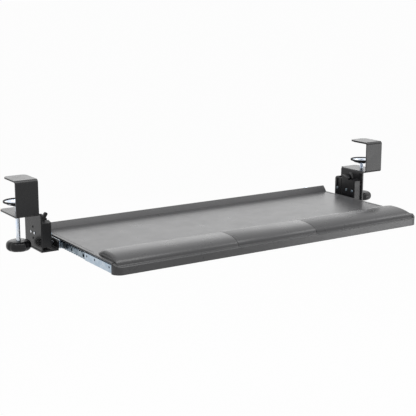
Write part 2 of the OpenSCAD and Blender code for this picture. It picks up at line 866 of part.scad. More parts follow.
module clamp_knob() {
    r = knob_r;
    e = 5;
    collar = 8;
    color(black) translate([screw_x, screw_y, knob_z]) difference() {
        rotate_extrude() polygon(concat(
            [[0, 0]],
            arc(r - e, e, e, -90, 0, 6),
            arc(r - e, knob_h - e, e, 0, 80, 6),
            [[collar + 1, knob_h - 0.4], [collar, knob_h], [0, knob_h]]));
        for (i = [0:knob_lobes - 1]) rotate((i + 0.5) * 360 / knob_lobes)
            translate([r + scallop_r - knob_scallop, 0, -1]) cylinder(r = scallop_r, h = knob_h + 2);
        translate([0, 0, knob_h - knob_socket]) cylinder(r = screw_r + fit, h = knob_socket + 1);
    }
}

// Pressed dish with a hub that turns on the screw's end
module pressure_pad() {
    r = pad_d / 2;
    cup = 4.5;
    step = 5;
    step_rise = 1.2;
    brim = 6;
    color(chrome) translate([screw_x, screw_y, 0]) rotate_extrude() polygon([
        [screw_r + fit, pad_hub_z],
        [pad_hub_r, pad_hub_z],
        [pad_hub_r + step, pad_hub_z + step_rise],
        [r - brim, pad_hub_z + cup],
        [r, pad_rim - 2.6],
        [r, pad_rim - ring_cap],
        [r - 1, pad_rim - ring_cap],
        [r - brim - pad_t / 2, pad_hub_z + cup + pad_t],
        [pad_hub_r + step, pad_hub_z + step_rise + pad_t],
        [pad_hub_r, pad_hub_z + pad_hub_h + pad_t],
        [0, pad_hub_z + pad_hub_h + pad_t],
        [0, pad_hub_z + pad_hub_h],
        [screw_r + fit, pad_hub_z + pad_hub_h]]);
}

// Rubber ring that caps the dish's rim
module pad_ring() {
    r = pad_d / 2;
    over = 1.1;
    color(rubber) translate([screw_x, screw_y, 0]) rotate_extrude() difference() {
        translate([r - ring_w + over, pad_rim - ring_h]) square([ring_w, ring_h]);
        translate([0, pad_rim - ring_h - 1]) square([r, ring_h + 1 - ring_cap]);
    }
}

/* Height lock */

module housing_rivet_spots() {
    for (s = [-1, 1]) translate([hanger_x + steel_t, bolt_y + s * bolt_side, bolt_z])
        rotate([0, 90, 0]) children();
}

module housing_bolt_spots() {
    for (s = [-1, 1]) translate([hanger_x + steel_t, bolt_y, bolt_z + s * bolt_rise])
        rotate([0, 90, 0]) children();
}

module face_screw_spots() {
    for (y = face_screw_ys) translate([lock_x, lock_y + y, face_screw_z])
        rotate([0, 90, 0]) children();
}

module stop_screw_spot() {
    translate([lock_x, stop_y, stop_z]) rotate([0, 90, 0]) children();
}

module lever_pin_spot() {
    translate([pivot_x, lock_y + pin_front, pivot_z]) rotate([-90, 0, 0]) children();
}

module lock_housing() {
    key_x = lock_x + lock_w / 2;
    key_y = post_y + post_front_wall + gap;
    side_r = 3;
    well = lever_t + 2 * gap;
    inner_wall = 2.2;
    outer_wall = 1.6;
    color(black) difference() {
        union() {
            intersection() {
                along_x(lock_x, lock_w) polygon([
                    [lock_y, lock_z], [lock_back, lock_z],
                    [lock_back, lock_top + lock_slope], [lock_y, lock_top]]);
                // Rounded upright edges on the inner side
                linear_extrude(2 * lock_top) difference() {
                    translate([lock_x, lock_y]) square([lock_w, lock_d]);
                    for (p = [[lock_y, 1], [lock_back, -1]])
                        translate([lock_x, p[0]]) scale([1, p[1]]) difference() {
                            translate([-1, -1]) square(side_r + 1);
                            translate([side_r, side_r]) circle(side_r);
                        }
                }
            }
            // Guide key that runs in the post's slot
            translate([key_x - key_neck / 2, lock_back - 1, key_z0])
                cube([key_neck, key_y - lock_back + 2, key_z1 - key_z0]);
            translate([key_x - key_head / 2, key_y, key_z0])
                cube([key_head, post_y + post_d - post_wall - gap - key_y, key_z1 - key_z0]);
        }
        // Chamber for the brake bar, open at the bottom and towards the hanger
        translate([hanger_x - bar_t - 2 * gap, bar_y - gap, lock_z - 1])
            cube([bar_t + 2 * gap + 1, bar_w + 2 * gap, bar_z1 + gap - lock_z + 1]);
        // Well for the lever
        translate([lock_x + inner_wall, lever_y - gap, pivot_z - lever_hub_r - nose_drop])
            cube([lock_w - inner_wall + 1, well, lever_hub_r + nose_drop]);
        translate([lock_x + inner_wall, lever_y - gap, pivot_z - 1])
            cube([lock_w - inner_wall - outer_wall, well, lock_slope + 10]);
        translate([lock_x - 1, lever_y - gap, pivot_z + 1.4])
            cube([inner_wall + 3, well, lock_slope + 10]);
        // Bores for the lever's pin, its spring and the fasteners
        lever_pin_spot() cylinder(d = pin_d + 2 * fit, h = pin_len + gap);
        lever_pin_spot() translate([0, 0, spring_start])
            cylinder(d = spring_room, h = spring_len);
        housing_rivet_spots() translate([0, 0, -steel_t - housing_bite - gap])
            cylinder(d = rivet_hole_d, h = housing_bite + 1);
        housing_bolt_spots() translate([0, 0, -steel_t - housing_bite - gap])
            cylinder(d = rivet_hole_d, h = housing_bite + 1);
        face_screw_spots() translate([0, 0, -1])
            cylinder(d = small_hole_d, h = face_bite + 1 + gap);
        stop_screw_spot() cylinder(d = small_hole_d, h = post_wall + stop_bite + hole_more);
    }
}

// Fasteners between the hanger and the housing, heads on the hanger's outer face
module housing_bolts() {
    color(black) for (m = [0, 1]) mirror([m, 0, 0]) housing_bolt_spots() {
        cylinder(d = flat_head_d, h = flat_head_h);
        translate([0, 0, -steel_t - housing_bite]) cylinder(d = rivet_d, h = steel_t + housing_bite + eps);
    }
}

module housing_rivets() {
    color(chrome) for (m = [0, 1]) mirror([m, 0, 0]) housing_rivet_spots() {
        cylinder(d = round_head_d, h = round_head_h);
        translate([0, 0, -steel_t - housing_bite]) cylinder(d = rivet_d, h = steel_t + housing_bite + eps);
    }
}

module housing_screws() {
    color(chrome) for (m = [0, 1]) mirror([m, 0, 0]) face_screw_spots()
        pan_screw(small_screw_d, small_head_d, small_head_h, face_bite);
}

// Shoulder screws that limit the height travel, heads outside the post
module guide_stop_screws() {
    head_back = 0.2;
    color(chrome) for (m = [0, 1]) mirror([m, 0, 0]) stop_screw_spot() {
        translate([0, 0, -stop_head_h + head_back - gap]) cylinder(d = stop_head_d, h = stop_head_h);
        translate([0, 0, -gap]) cylinder(d = stop_d, h = post_wall + 2 * gap - 0.1 + gap);
        cylinder(d = small_screw_d, h = post_wall + stop_bite);
    }
}

module lever_pins() {
    color(zinc) for (m = [0, 1]) mirror([m, 0, 0]) lever_pin_spot() cylinder(d = pin_d, h = pin_len);
}

// Torsion springs on the pins, beside the levers, as helical tubes
function helix_point(i, per_turn) = let (a = 360 * i / per_turn)
    [cos(a), sin(a), a / 360];

module spring_coil(r, pitch) {
    sides = 6;
    per_turn = 16;
    rings = spring_turns * per_turn;
    w = spring_wire / 2;
    pts = [for (i = [0:rings]) let (p = helix_point(i, per_turn))
        for (k = [0:sides - 1]) let (b = 360 * k / sides, q = r + w * cos(b))
            [q * p[0], q * p[1], p[2] * pitch + w * sin(b)]];
    walls = [for (i = [0:rings - 1], k = [0:sides - 1]) let (n = (k + 1) % sides)
        each [[i * sides + k, (i + 1) * sides + n, i * sides + n],
              [i * sides + k, (i + 1) * sides + k, (i + 1) * sides + n]]];
    first = [for (k = [1:sides - 2]) [0, k, k + 1]];
    last = [for (k = [1:sides - 2]) [rings * sides, rings * sides + k + 1, rings * sides + k]];
    polyhedron(pts, concat(walls, first, last));
}

module lever_springs() {
    r = pin_d / 2 + spring_wire / 2 + 0.6;
    pitch = (spring_len - 2 * gap - spring_wire) / spring_turns;
    color(zinc) for (m = [0, 1]) mirror([m, 0, 0]) lever_pin_spot()
        translate([0, 0, spring_start + gap + spring_wire / 2])
            spring_coil(r, pitch);
}

// Lever with its hub on the pin and a nose that bears on the brake bar
module lock_lever() {
    arm_r = 3;
    color(black) difference() {
        translate([pivot_x, 0, pivot_z]) {
            along_y(lever_y, lever_t) {
                circle(lever_hub_r);
                rotate(lever_lean) {
                    translate([-arm_r, 0]) square([2 * arm_r, lever_len - arm_r]);
                    translate([0, lever_len - arm_r]) circle(arm_r);
                }
                translate([-nose_r - 0.5, -nose_drop]) square([2 * nose_r, nose_drop]);
                translate([-0.5, -nose_drop]) circle(nose_r);
            }
        }
        lever_pin_spot() cylinder(d = pin_d + 2 * fit, h = pin_len);
    }
}

place() tray_panel();
place() front_rail();
place() rear_stop_strip();
place() palm_segment(-tray_w / 2, -palm_mid_w / 2 - palm_seam);  // palm_rest_left
place() palm_segment(-palm_mid_w / 2, palm_mid_w / 2);  // palm_rest_middle
place() palm_segment(palm_mid_w / 2 + palm_seam, tray_w / 2);  // palm_rest_right
left_side() side_rail();  // side_rail_left
right_side() side_rail();  // side_rail_right
place() cross_brace(brace_ys[0]);  // cross_brace_front
place() cross_brace(brace_ys[1]);  // cross_brace_rear
place() frame_screws();
place() palm_rest_screws();
place() rear_strip_screws();
left_side() inner_slide();  // inner_slide_left
right_side() inner_slide();  // inner_slide_right
place() inner_slide_screws();
left_side() ball_cage();  // ball_cage_left
right_side() ball_cage();  // ball_cage_right
left_side() slide_balls();  // slide_balls_left
right_side() slide_balls();  // slide_balls_right
left_side() outer_slide();  // outer_slide_left
right_side() outer_slide();  // outer_slide_right
place() outer_slide_rivets();
left_side() slide_bracket();  // slide_bracket_left
right_side() slide_bracket();  // slide_bracket_right
left_side() guide_post();  // guide_post_left
right_side() guide_post();  // guide_post_right
left_side() brake_bar();  // brake_bar_left
right_side() brake_bar();  // brake_bar_right
both_sides() bracket_screws();
left_side() clamp_bracket();  // clamp_bracket_left
right_side() clamp_bracket();  // clamp_bracket_right
left_side() jaw_pad();  // jaw_pad_left
right_side() jaw_pad();  // jaw_pad_right
left_side() clamp_nut();  // clamp_nut_left
right_side() clamp_nut();  // clamp_nut_right
left_side() lock_housing();  // lock_housing_left
right_side() lock_housing();  // lock_housing_right
place() housing_bolts();
place() housing_rivets();
place() housing_screws();
place() guide_stop_screws();
place() lever_pins();
place() lever_springs();
left_side() lock_lever();  // lock_lever_left
right_side() lock_lever();  // lock_lever_right
left_side() clamp_screw();  // clamp_screw_left
right_side() clamp_screw();  // clamp_screw_right
left_side() clamp_knob();  // clamp_knob_left
right_side() clamp_knob();  // clamp_knob_right
left_side() pressure_pad();  // pressure_pad_left
right_side() pressure_pad();  // pressure_pad_right
left_side() pad_ring();  // pad_ring_left
right_side() pad_ring();  // pad_ring_right
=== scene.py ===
# %% [markdown]
# This notebook dresses a keyboard tray that hangs under a desk from two screw clamps.
# The solid model is already packed and fixed: it says where every piece is and how it moves.
# Here each piece gets its finish, and the mouldings, knobs and screws get fuller surfaces.
# The order is: camera, finishes, the tray's mouldings, the clamps' round parts, all other
# pieces, and last the room and its lamps.

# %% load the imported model
import json
import math

import bmesh
import bpy
import numpy as np
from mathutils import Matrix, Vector


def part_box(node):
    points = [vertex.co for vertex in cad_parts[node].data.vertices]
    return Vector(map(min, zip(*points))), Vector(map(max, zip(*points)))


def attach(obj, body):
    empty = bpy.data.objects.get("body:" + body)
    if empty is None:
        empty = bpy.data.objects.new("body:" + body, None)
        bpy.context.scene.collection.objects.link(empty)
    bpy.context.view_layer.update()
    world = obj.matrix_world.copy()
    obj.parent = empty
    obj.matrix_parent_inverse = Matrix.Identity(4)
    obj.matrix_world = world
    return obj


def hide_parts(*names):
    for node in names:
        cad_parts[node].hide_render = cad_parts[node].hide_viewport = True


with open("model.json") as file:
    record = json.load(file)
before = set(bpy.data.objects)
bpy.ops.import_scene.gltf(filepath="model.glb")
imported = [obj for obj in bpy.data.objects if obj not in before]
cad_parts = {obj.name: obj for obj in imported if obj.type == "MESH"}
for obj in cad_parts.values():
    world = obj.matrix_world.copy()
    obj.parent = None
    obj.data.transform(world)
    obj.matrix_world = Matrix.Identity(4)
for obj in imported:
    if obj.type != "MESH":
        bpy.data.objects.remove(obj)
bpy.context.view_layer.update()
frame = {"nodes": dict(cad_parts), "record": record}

# %% [markdown]
# All shapes below are written in millimetres from the tray's front bottom edge, as a maker
# would measure them on the bench. They could be typed straight in the frame's metres, but
# then no number would say which edge it is measured from. One function moves them, and the
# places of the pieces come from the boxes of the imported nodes, so nothing is fitted by eye.

# %% millimetres of the tray to metres of the frame
MM = 0.001
rail_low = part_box("front_rail")[0]
TRAY_ORIGIN = np.array([0.0, rail_low.y, rail_low.z])


def placed(points):
    """Turns points in tray millimetres into frame metres: scale, then shift to the origin."""
    return np.asarray(points, float) * MM + TRAY_ORIGIN


def node_box(node):
    """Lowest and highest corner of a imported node, in tray millimetres."""
    low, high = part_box(node)
    return (np.array(low) - TRAY_ORIGIN) / MM, (np.array(high) - TRAY_ORIGIN) / MM


print("front edge of the tray at y", round(rail_low.y, 4), "bottom at z", round(rail_low.z, 4))

# %% [markdown]
# The model's record says which body a node moves with and which kind of material it is made
# of. Each new piece takes both from the node that it stands for, so they are looked up once.

# %% the body and the material slot of each node
body_of = {node: body for body, members in frame["record"]["behaviour"]["bodies"].items()
           for node in members}
slot_of = {part["node"]: part["material_slot"] for part in frame["record"]["subparts"]}

# %% [markdown]
# The camera stands to the front left, a little above the tray, with a long lens, so that
# the far clamp isn't much smaller than the near one. It could be placed by eye, but then
# the tray's edges would run at other slopes. Its place and angles were worked out from
# the tray's straight edges and their sizes in the solid model.

# %% camera
CAMERA_PLACE = (-1.12084, -1.68089, 0.35029)
CAMERA_TILT, CAMERA_ROLL, CAMERA_TURN = 77.52, -0.05, -33.08
LENS, SENSOR = 87.94, 36.0
camera_data = bpy.data.cameras.new("camera")
camera_data.lens = LENS
camera_data.sensor_width = SENSOR
camera = bpy.data.objects.new("camera", camera_data)
camera.location = CAMERA_PLACE
camera.rotation_euler = [math.radians(a) for a in (CAMERA_TILT, CAMERA_ROLL, CAMERA_TURN)]
bpy.context.scene.collection.objects.link(camera)
bpy.context.scene.camera = camera
bpy.context.scene.view_settings.view_transform = "Standard"
print("camera at", CAMERA_PLACE, "lens", LENS)

# %% [markdown]
# Shader graphs could be drawn by hand in the node editor, but then nobody could read or
# repeat them. Here a few lines of code build them. One helper adds a node, sets its options
# and fills its inputs, either with a number or with another node's output. A second helper
# starts a node group with named sockets, for the effects that several finishes share.

# %% helpers for shader graphs
FLOAT, VECTOR, COLOUR = "NodeSocketFloat", "NodeSocketVector", "NodeSocketColor"


def add(tree, kind, inputs=None, **settings):
    """Adds a node of that kind. An input that is a socket is linked, anything else is a value."""
    made = tree.nodes.new(kind)
    for key, value in settings.items():
        setattr(made, key, value)
    for key, value in (inputs or {}).items():
        if isinstance(value, bpy.types.NodeSocket):
            tree.links.new(value, made.inputs[key])
        else:
            made.inputs[key].default_value = value
    return made


def new_group(name, inputs, outputs):
    """Starts a shader node group and returns its tree, its input node and its output node."""
    tree = bpy.data.node_groups.new(name, "ShaderNodeTree")
    for label, kind, value in inputs:
        socket = tree.interface.new_socket(label, in_out="INPUT", socket_type=kind)
        if value is not None:
            socket.default_value = value
    for label, kind in outputs:
        tree.interface.new_socket(label, in_out="OUTPUT", socket_type=kind)
    return tree, tree.nodes.new("NodeGroupInput"), tree.nodes.new("NodeGroupOutput")


print("kinds of group socket", FLOAT, VECTOR, COLOUR)

# %% [markdown]
# Moulded plastic isn't smooth: the mould's etched face leaves a fine grain. It could be cut
# into the mesh, but its cells are under a millimetre wide, so that would take millions of
# faces. It is a pattern that tilts the light instead: small cells with finer noise on top.

# %% group: moulded grain
CELL_SHARE, SPECK_SHARE, SPECK_FINER = 0.6, 0.4, 2.3
grain, g_in, g_out = new_group("moulded_grain", [("Vector", VECTOR, None), ("Scale", FLOAT, 900.0)],
                               [("Height", FLOAT)])
cells = add(grain, "ShaderNodeTexVoronoi", {"Vector": g_in.outputs["Vector"],
                                            "Scale": g_in.outputs["Scale"]})
finer = add(grain, "ShaderNodeMath", {0: g_in.outputs["Scale"], 1: SPECK_FINER}, operation="MULTIPLY")
specks = add(grain, "ShaderNodeTexNoise", {"Vector": g_in.outputs["Vector"], "Scale": finer.outputs[0],
                                           "Detail": 3.0})
speck_part = add(grain, "ShaderNodeMath", {0: specks.outputs[0], 1: SPECK_SHARE}, operation="MULTIPLY")
both_parts = add(grain, "ShaderNodeMath", {0: cells.outputs["Distance"], 1: CELL_SHARE,
                                           2: speck_part.outputs[0]}, operation="MULTIPLY_ADD")
grain.links.new(both_parts.outputs[0], g_out.inputs["Height"])
print("group", grain.name)

# %% [markdown]
# A large moulding or a painted sheet is never one flat colour. One plain value would look
# like a drawing, and a painted map would need an image. A slow cloud of light and shade, a
# few per cent either way, breaks the colour up in the way that real stock does.

# %% group: tone drift
NOISE_LOW, NOISE_HIGH = 0.3, 0.7
drift, d_in, d_out = new_group("tone_drift", [("Vector", VECTOR, None),
                                              ("Colour", COLOUR, (0.1, 0.1, 0.1, 1)),
                                              ("Amount", FLOAT, 0.08), ("Scale", FLOAT, 9.0)],
                               [("Colour", COLOUR)])
cloud = add(drift, "ShaderNodeTexNoise", {"Vector": d_in.outputs["Vector"], "Scale": d_in.outputs["Scale"],
                                          "Detail": 5.0, "Roughness": 0.6})
darkest = add(drift, "ShaderNodeMath", {0: 1.0, 1: d_in.outputs["Amount"]}, operation="SUBTRACT")
lightest = add(drift, "ShaderNodeMath", {0: 1.0, 1: d_in.outputs["Amount"]}, operation="ADD")
level = add(drift, "ShaderNodeMapRange", {"Value": cloud.outputs[0], "From Min": NOISE_LOW,
                                          "From Max": NOISE_HIGH, "To Min": darkest.outputs[0],
                                          "To Max": lightest.outputs[0]})
tinted = add(drift, "ShaderNodeVectorMath", {0: d_in.outputs["Colour"], "Scale": level.outputs[0]},
             operation="SCALE")
drift.links.new(tinted.outputs[0], d_out.inputs["Colour"])
print("group", drift.name)

# %% [markdown]
# Hands and packing leave a surface a little glossier here and duller there. A single
# roughness would give every highlight the same soft edge. The group turns noise into a
# roughness between two given limits instead.

# %% group: handled roughness
handled, h_in, h_out = new_group("handled_roughness", [("Vector", VECTOR, None), ("Low", FLOAT, 0.35),
                                                       ("High", FLOAT, 0.5), ("Scale", FLOAT, 30.0)],
                                 [("Roughness", FLOAT)])
smears = add(handled, "ShaderNodeTexNoise", {"Vector": h_in.outputs["Vector"],
                                             "Scale": h_in.outputs["Scale"], "Detail": 6.0,
                                             "Roughness": 0.65, "Distortion": 0.6})
spread = add(handled, "ShaderNodeMapRange", {"Value": smears.outputs[0], "From Min": NOISE_LOW,
                                             "From Max": NOISE_HIGH, "To Min": h_in.outputs["Low"],
                                             "To Max": h_in.outputs["High"]})
handled.links.new(spread.outputs[0], h_out.inputs["Roughness"])
print("group", handled.name)

# %% [markdown]
# The slides are rolled from strip, and rolling leaves fine lines along the strip. Single
# scratches could be placed one by one, but rolled lines have no start or end. Noise that is
# drawn out some eighty times along one axis gives them as a height.

# %% group: drawn lines
DRAWN_OUT = 0.012
lines, l_in, l_out = new_group("drawn_lines", [("Vector", VECTOR, None), ("Scale", FLOAT, 1400.0)],
                               [("Height", FLOAT)])
stretched = add(lines, "ShaderNodeVectorMath", {0: l_in.outputs["Vector"], 1: (1.0, DRAWN_OUT, 1.0)},
                operation="MULTIPLY")
strands = add(lines, "ShaderNodeTexNoise", {"Vector": stretched.outputs[0],
                                            "Scale": l_in.outputs["Scale"], "Detail": 2.0})
lines.links.new(strands.outputs[0], l_out.inputs["Height"])
print("group", lines.name)

# %% [markdown]
# Zinc plate shows a faint bloom: patches that lean to blue or to silver. Two colours and a
# hard mask would look like stains, so soft noise runs from one colour to the other.

# %% group: zinc bloom
PATCH_LOW, PATCH_HIGH = 0.35, 0.65
bloom, b_in, b_out = new_group("zinc_bloom", [("Vector", VECTOR, None),
                                              ("Silver", COLOUR, (0.7, 0.72, 0.75, 1)),
                                              ("Blue", COLOUR, (0.5, 0.6, 0.75, 1)),
                                              ("Scale", FLOAT, 60.0)], [("Colour", COLOUR)])
patches = add(bloom, "ShaderNodeTexNoise", {"Vector": b_in.outputs["Vector"],
                                            "Scale": b_in.outputs["Scale"], "Detail": 4.0,
                                            "Roughness": 0.55})
share = add(bloom, "ShaderNodeMapRange", {"Value": patches.outputs[0], "From Min": PATCH_LOW,
                                          "From Max": PATCH_HIGH})
blend = add(bloom, "ShaderNodeMix", {"Factor": share.outputs[0]}, data_type="RGBA")
bloom.links.new(b_in.outputs["Silver"], blend.inputs["A"])
bloom.links.new(b_in.outputs["Blue"], blend.inputs["B"])
bloom.links.new(blend.outputs["Result"], b_out.inputs["Colour"])
print("group", bloom.name)

# %% [markdown]
# Two kinds of finish cover the whole object. Plastics, powder coat and rubber are a dark
# body under a clear gloss. Metals are the zinc plate and chrome, where the colour sits in
# the reflection itself. A layered shader could build either, but the one standard shader
# covers both and keeps its settings readable, so both start in the same way.

# %% helpers that every finish uses


def use_group(tree, group, inputs):
    """Places a node group in a material and fills its inputs."""
    return add(tree, "ShaderNodeGroup", inputs, node_tree=group)


def start_material(name):
    """An empty material with an output, a Principled shader and object coordinates."""
    material = bpy.data.materials.new(name)
    material.use_nodes = True
    tree = material.node_tree
    tree.nodes.clear()
    shader = add(tree, "ShaderNodeBsdfPrincipled")
    output = add(tree, "ShaderNodeOutputMaterial")
    tree.links.new(shader.outputs[0], output.inputs["Surface"])
    return material, tree, shader, add(tree, "ShaderNodeTexCoord").outputs["Object"]


def feed_shader(tree, shader, tone, dull, rise, strength, depth):
    """Links colour, roughness and bump. depth is the full height of the bump in millimetres."""
    bump = add(tree, "ShaderNodeBump", {"Height": rise.outputs["Height"], "Strength": strength,
                                        "Distance": depth * MM})
    tree.links.new(tone.outputs["Colour"], shader.inputs["Base Color"])
    tree.links.new(dull.outputs["Roughness"], shader.inputs["Roughness"])
    tree.links.new(bump.outputs["Normal"], shader.inputs["Normal"])


print("groups that a finish can use", sorted(group.name for group in (grain, drift, handled, lines, bloom)))

# %% [markdown]
# The tray and palm rest are one family of dark grey satin plastic, and the rear strip is
# a duller grade of it. The clamps are a black satin powder coat, a little glossier on the
# clamp strip, and the lock's mouldings a deep black. They differ only in a few values, so
# each is a row in one table and not a graph of its own.

# %% finishes: plastics, powder coat and rubber


def coated(name, colour, rough, drift_by, grain_scale, grain_depth, strength, specular):
    """A dark body colour under a gloss, with roughness between two limits and grain in the bump."""
    material, tree, shader, place = start_material(name)
    tone = use_group(tree, drift, {"Vector": place, "Colour": (*colour, 1), "Amount": drift_by})
    dull = use_group(tree, handled, {"Vector": place, "Low": rough[0], "High": rough[1]})
    rise = use_group(tree, grain, {"Vector": place, "Scale": grain_scale})
    feed_shader(tree, shader, tone, dull, rise, strength, grain_depth)
    shader.inputs["Specular IOR Level"].default_value = specular
    return material


# colour, roughness low and high, tone drift, grain scale, grain depth in mm, bump, specular
COATED = {
    "tray_plastic": ((0.070, 0.070, 0.072), (0.27, 0.32), 0.04, 1500, 0.012, 0.12, 0.36),
    "palm_plastic": ((0.066, 0.066, 0.068), (0.26, 0.31), 0.04, 1300, 0.012, 0.12, 0.36),
    "strip_plastic": ((0.078, 0.078, 0.080), (0.50, 0.58), 0.04, 1500, 0.012, 0.12, 0.40),
    "black_steel": ((0.009, 0.009, 0.010), (0.32, 0.45), 0.15, 700, 0.04, 0.3, 0.3),
    "clamp_steel": ((0.021, 0.021, 0.022), (0.25, 0.30), 0.06, 800, 0.015, 0.15, 0.27),
    "black_moulding": ((0.009, 0.009, 0.010), (0.28, 0.40), 0.15, 1500, 0.03, 0.3, 0.32),
    "knob_plastic": ((0.010, 0.010, 0.011), (0.28, 0.40), 0.15, 1500, 0.03, 0.3, 0.3),
    "black_fasteners": ((0.004, 0.004, 0.004), (0.45, 0.6), 0.2, 2500, 0.02, 0.3, 0.1),
    "rubber": ((0.011, 0.011, 0.011), (0.55, 0.75), 0.2, 1800, 0.06, 0.5, 0.35),
}
materials = {name: coated(name, *values) for name, values in COATED.items()}
print("coated finishes", sorted(COATED))

# %% [markdown]
# The slides are blue zinc. The outer member is a brighter zinc, a painted highlight that
# stands for the white reflection along its front edge. The screws' rods and dishes are
# bright plate, the balls polished steel, and the small screws a duller zinc. A metal could
# be a grey paint with a strong gloss, but then its highlights would stay white. As a metal
# it tints what it mirrors, which is what tells zinc from chrome.

# %% finishes: zinc plate, steel and chrome
PLATE_SMEARS, PLATE_BUMP = 120.0, 0.35


def plated(name, silver, blue, rough, depth):
    """A plated metal: two tones in soft patches, smeared gloss, and drawn lines in the bump."""
    material, tree, shader, place = start_material(name)
    tone = use_group(tree, bloom, {"Vector": place, "Silver": (*silver, 1), "Blue": (*blue, 1)})
    dull = use_group(tree, handled, {"Vector": place, "Low": rough[0], "High": rough[1],
                                     "Scale": PLATE_SMEARS})
    rise = use_group(tree, lines, {"Vector": place})
    feed_shader(tree, shader, tone, dull, rise, PLATE_BUMP, depth)
    shader.inputs["Metallic"].default_value = 1.0
    return material


# silver tone, blue tone, roughness low and high, depth of the lines in mm
PLATED = {
    "zinc_steel": ((0.50, 0.57, 0.64), (0.36, 0.45, 0.54), (0.22, 0.34), 0.004),
    # painted highlight: the outer slides' zinc is made brighter to stand for the white reflection along
    # their front edges
    "zinc_painted_highlight": ((0.86, 0.90, 0.95), (0.72, 0.80, 0.88), (0.18, 0.28), 0.004),
    # painted shade: the cage's steel is darker than the zinc, standing for the shade that the cage casts
    # over the inner member behind it
    "cage_steel": ((0.33, 0.39, 0.43), (0.18, 0.23, 0.28), (0.28, 0.42), 0.006),
    "zinc_fasteners": ((0.68, 0.69, 0.70), (0.55, 0.60, 0.68), (0.22, 0.36), 0.004),
    "ball_steel": ((0.74, 0.75, 0.78), (0.66, 0.69, 0.74), (0.06, 0.12), 0.001),
    "chrome": ((0.94, 0.97, 1.0), (0.70, 0.81, 0.98), (0.10, 0.20), 0.001),
}
materials.update({name: plated(name, *values) for name, values in PLATED.items()})
print("plated finishes", sorted(PLATED))

# %% [markdown]
# Most nodes wear the finish that has their slot's name. A few differ from the rest of their
# slot: on the real object the rear strip is duller and two kinds of small screw are darker,
# and the outer slides carry a painted highlight, a brighter zinc that stands for the white
# reflection along their edges. They are named here, so that the slots stay as they are.

# %% every node gets its finish
# the outer slides take the brighter zinc, which is a painted highlight
OWN_FINISH = {"outer_slide_left": "zinc_painted_highlight", "outer_slide_right": "zinc_painted_highlight",
              # the housing and guide stop screws take the cage's steel, whose darker tone is painted shade
              "rear_stop_strip": "strip_plastic", "housing_screws": "cage_steel",
              "guide_stop_screws": "cage_steel"}


def finish_of(node):
    """The material for a node: its own finish, or else the one named after its slot."""
    return materials[OWN_FINISH.get(node, slot_of[node])]


for node, thing in frame["nodes"].items():
    for material_slot in thing.material_slots:
        material_slot.material = finish_of(node)
print("nodes with a finish of their own", sorted(OWN_FINISH))

# %% [markdown]
# New shapes are rings of points, carried along a path. Neighbouring rings are joined by
# quads, and the first and last rings are closed by a flat face, or run to a point. The same
# bodies could be cut from blocks, but rings follow a soft moulding with far fewer faces.

# %% helpers for surfaces


def new_piece(name, points, faces):
    """A closed mesh with its doubled points merged and its faces turned outwards."""
    mesh = bpy.data.meshes.new(name)
    mesh.from_pydata(points.tolist(), [], faces)
    shell = bmesh.new()
    shell.from_mesh(mesh)
    bmesh.ops.remove_doubles(shell, verts=shell.verts, dist=1e-7)
    bmesh.ops.recalc_face_normals(shell, faces=shell.faces)
    shell.to_mesh(mesh)
    shell.free()
    piece = bpy.data.objects.new(name, mesh)
    bpy.context.scene.collection.objects.link(piece)
    return piece


def ring_faces(count, around, capped=True):
    """Quads between count rings of around points each, with a flat face on both ends."""
    ring, step = np.meshgrid(np.arange(count - 1), np.arange(around), indexing="ij")
    beside = (step + 1) % around
    quads = np.stack([ring * around + step, ring * around + beside,
                      (ring + 1) * around + beside, (ring + 1) * around + step], -1)
    faces = quads.reshape(-1, 4).tolist()
    if capped:
        faces.append(list(range(around - 1, -1, -1)))
        faces.append(list(range((count - 1) * around, count * around)))
    return faces


def ring_piece(name, rings, capped=True):
    """A piece from an array of rings, in tray millimetres."""
    return new_piece(name, placed(rings.reshape(-1, 3)), ring_faces(*rings.shape[:2], capped))


print("a box as two rings of four points has", len(ring_faces(2, 4)), "faces")

# %% [markdown]
# Every new piece stands for a node of the solid model. It takes that node's finish,
# rides on the same body, so that it moves with it, and the node itself is
# hidden. These calls could be written out for each piece, but one that is forgotten would
# leave a piece behind when the tray slides. So one helper makes them all.

# %% helpers that dress a piece as its node


def dress(piece, node, smooth):
    """Gives a piece the finish and body of the node that it stands for.
    Edges sharper than smooth, in degrees, stay sharp."""
    mesh = piece.data
    mesh.materials.append(finish_of(node))
    mesh.polygons.foreach_set("use_smooth", np.ones(len(mesh.polygons), bool))
    mesh.set_sharp_from_angle(angle=math.radians(smooth))
    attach(piece, body_of[node])
    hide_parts(node)
    print(piece.name, len(mesh.polygons), "faces")


def dress_rings(node, form, rings, smooth, capped=True):
    """A piece from rings, named after its node and its form, and dressed as that node."""
    dress(ring_piece(node + "_" + form, rings, capped), node, smooth)


# %% [markdown]
# Three more tools serve the outlines: an arc for a rounded corner, an outline moved inwards
# by a small amount, and the stations along a bar that round its ends. A bevel could round
# the ends as well, but here every ring stays a whole outline, which keeps the quads even.

# %% helpers for outlines
END_STEPS = 4


def corner_arc(centre_a, centre_b, radius, start, end, steps):
    """Points on a circle from the start angle to the end angle, in degrees."""
    turn = np.radians(np.linspace(start, end, steps + 1))
    return np.stack([centre_a + radius * np.cos(turn), centre_b + radius * np.sin(turn)], -1)


def unit(steps):
    """Each row of an array of 2D steps divided by its own length."""
    return steps / np.maximum(np.linalg.norm(steps, axis=1, keepdims=True), 1e-9)


def inset_loop(loop, amount):
    """A closed loop of (a, b) points moved inwards by amount, along each point's own normal.
    The normal is the mean direction of both neighbouring edges, turned by a right angle."""
    along = unit(unit(np.roll(loop, -1, 0) - loop) + unit(loop - np.roll(loop, 1, 0)))
    turned_in = np.stack([-along[:, 1], along[:, 0]], -1)
    area = np.sum(loop[:, 0] * np.roll(loop[:, 1], -1) - np.roll(loop[:, 0], -1) * loop[:, 1])
    return loop + turned_in * amount * np.sign(area)


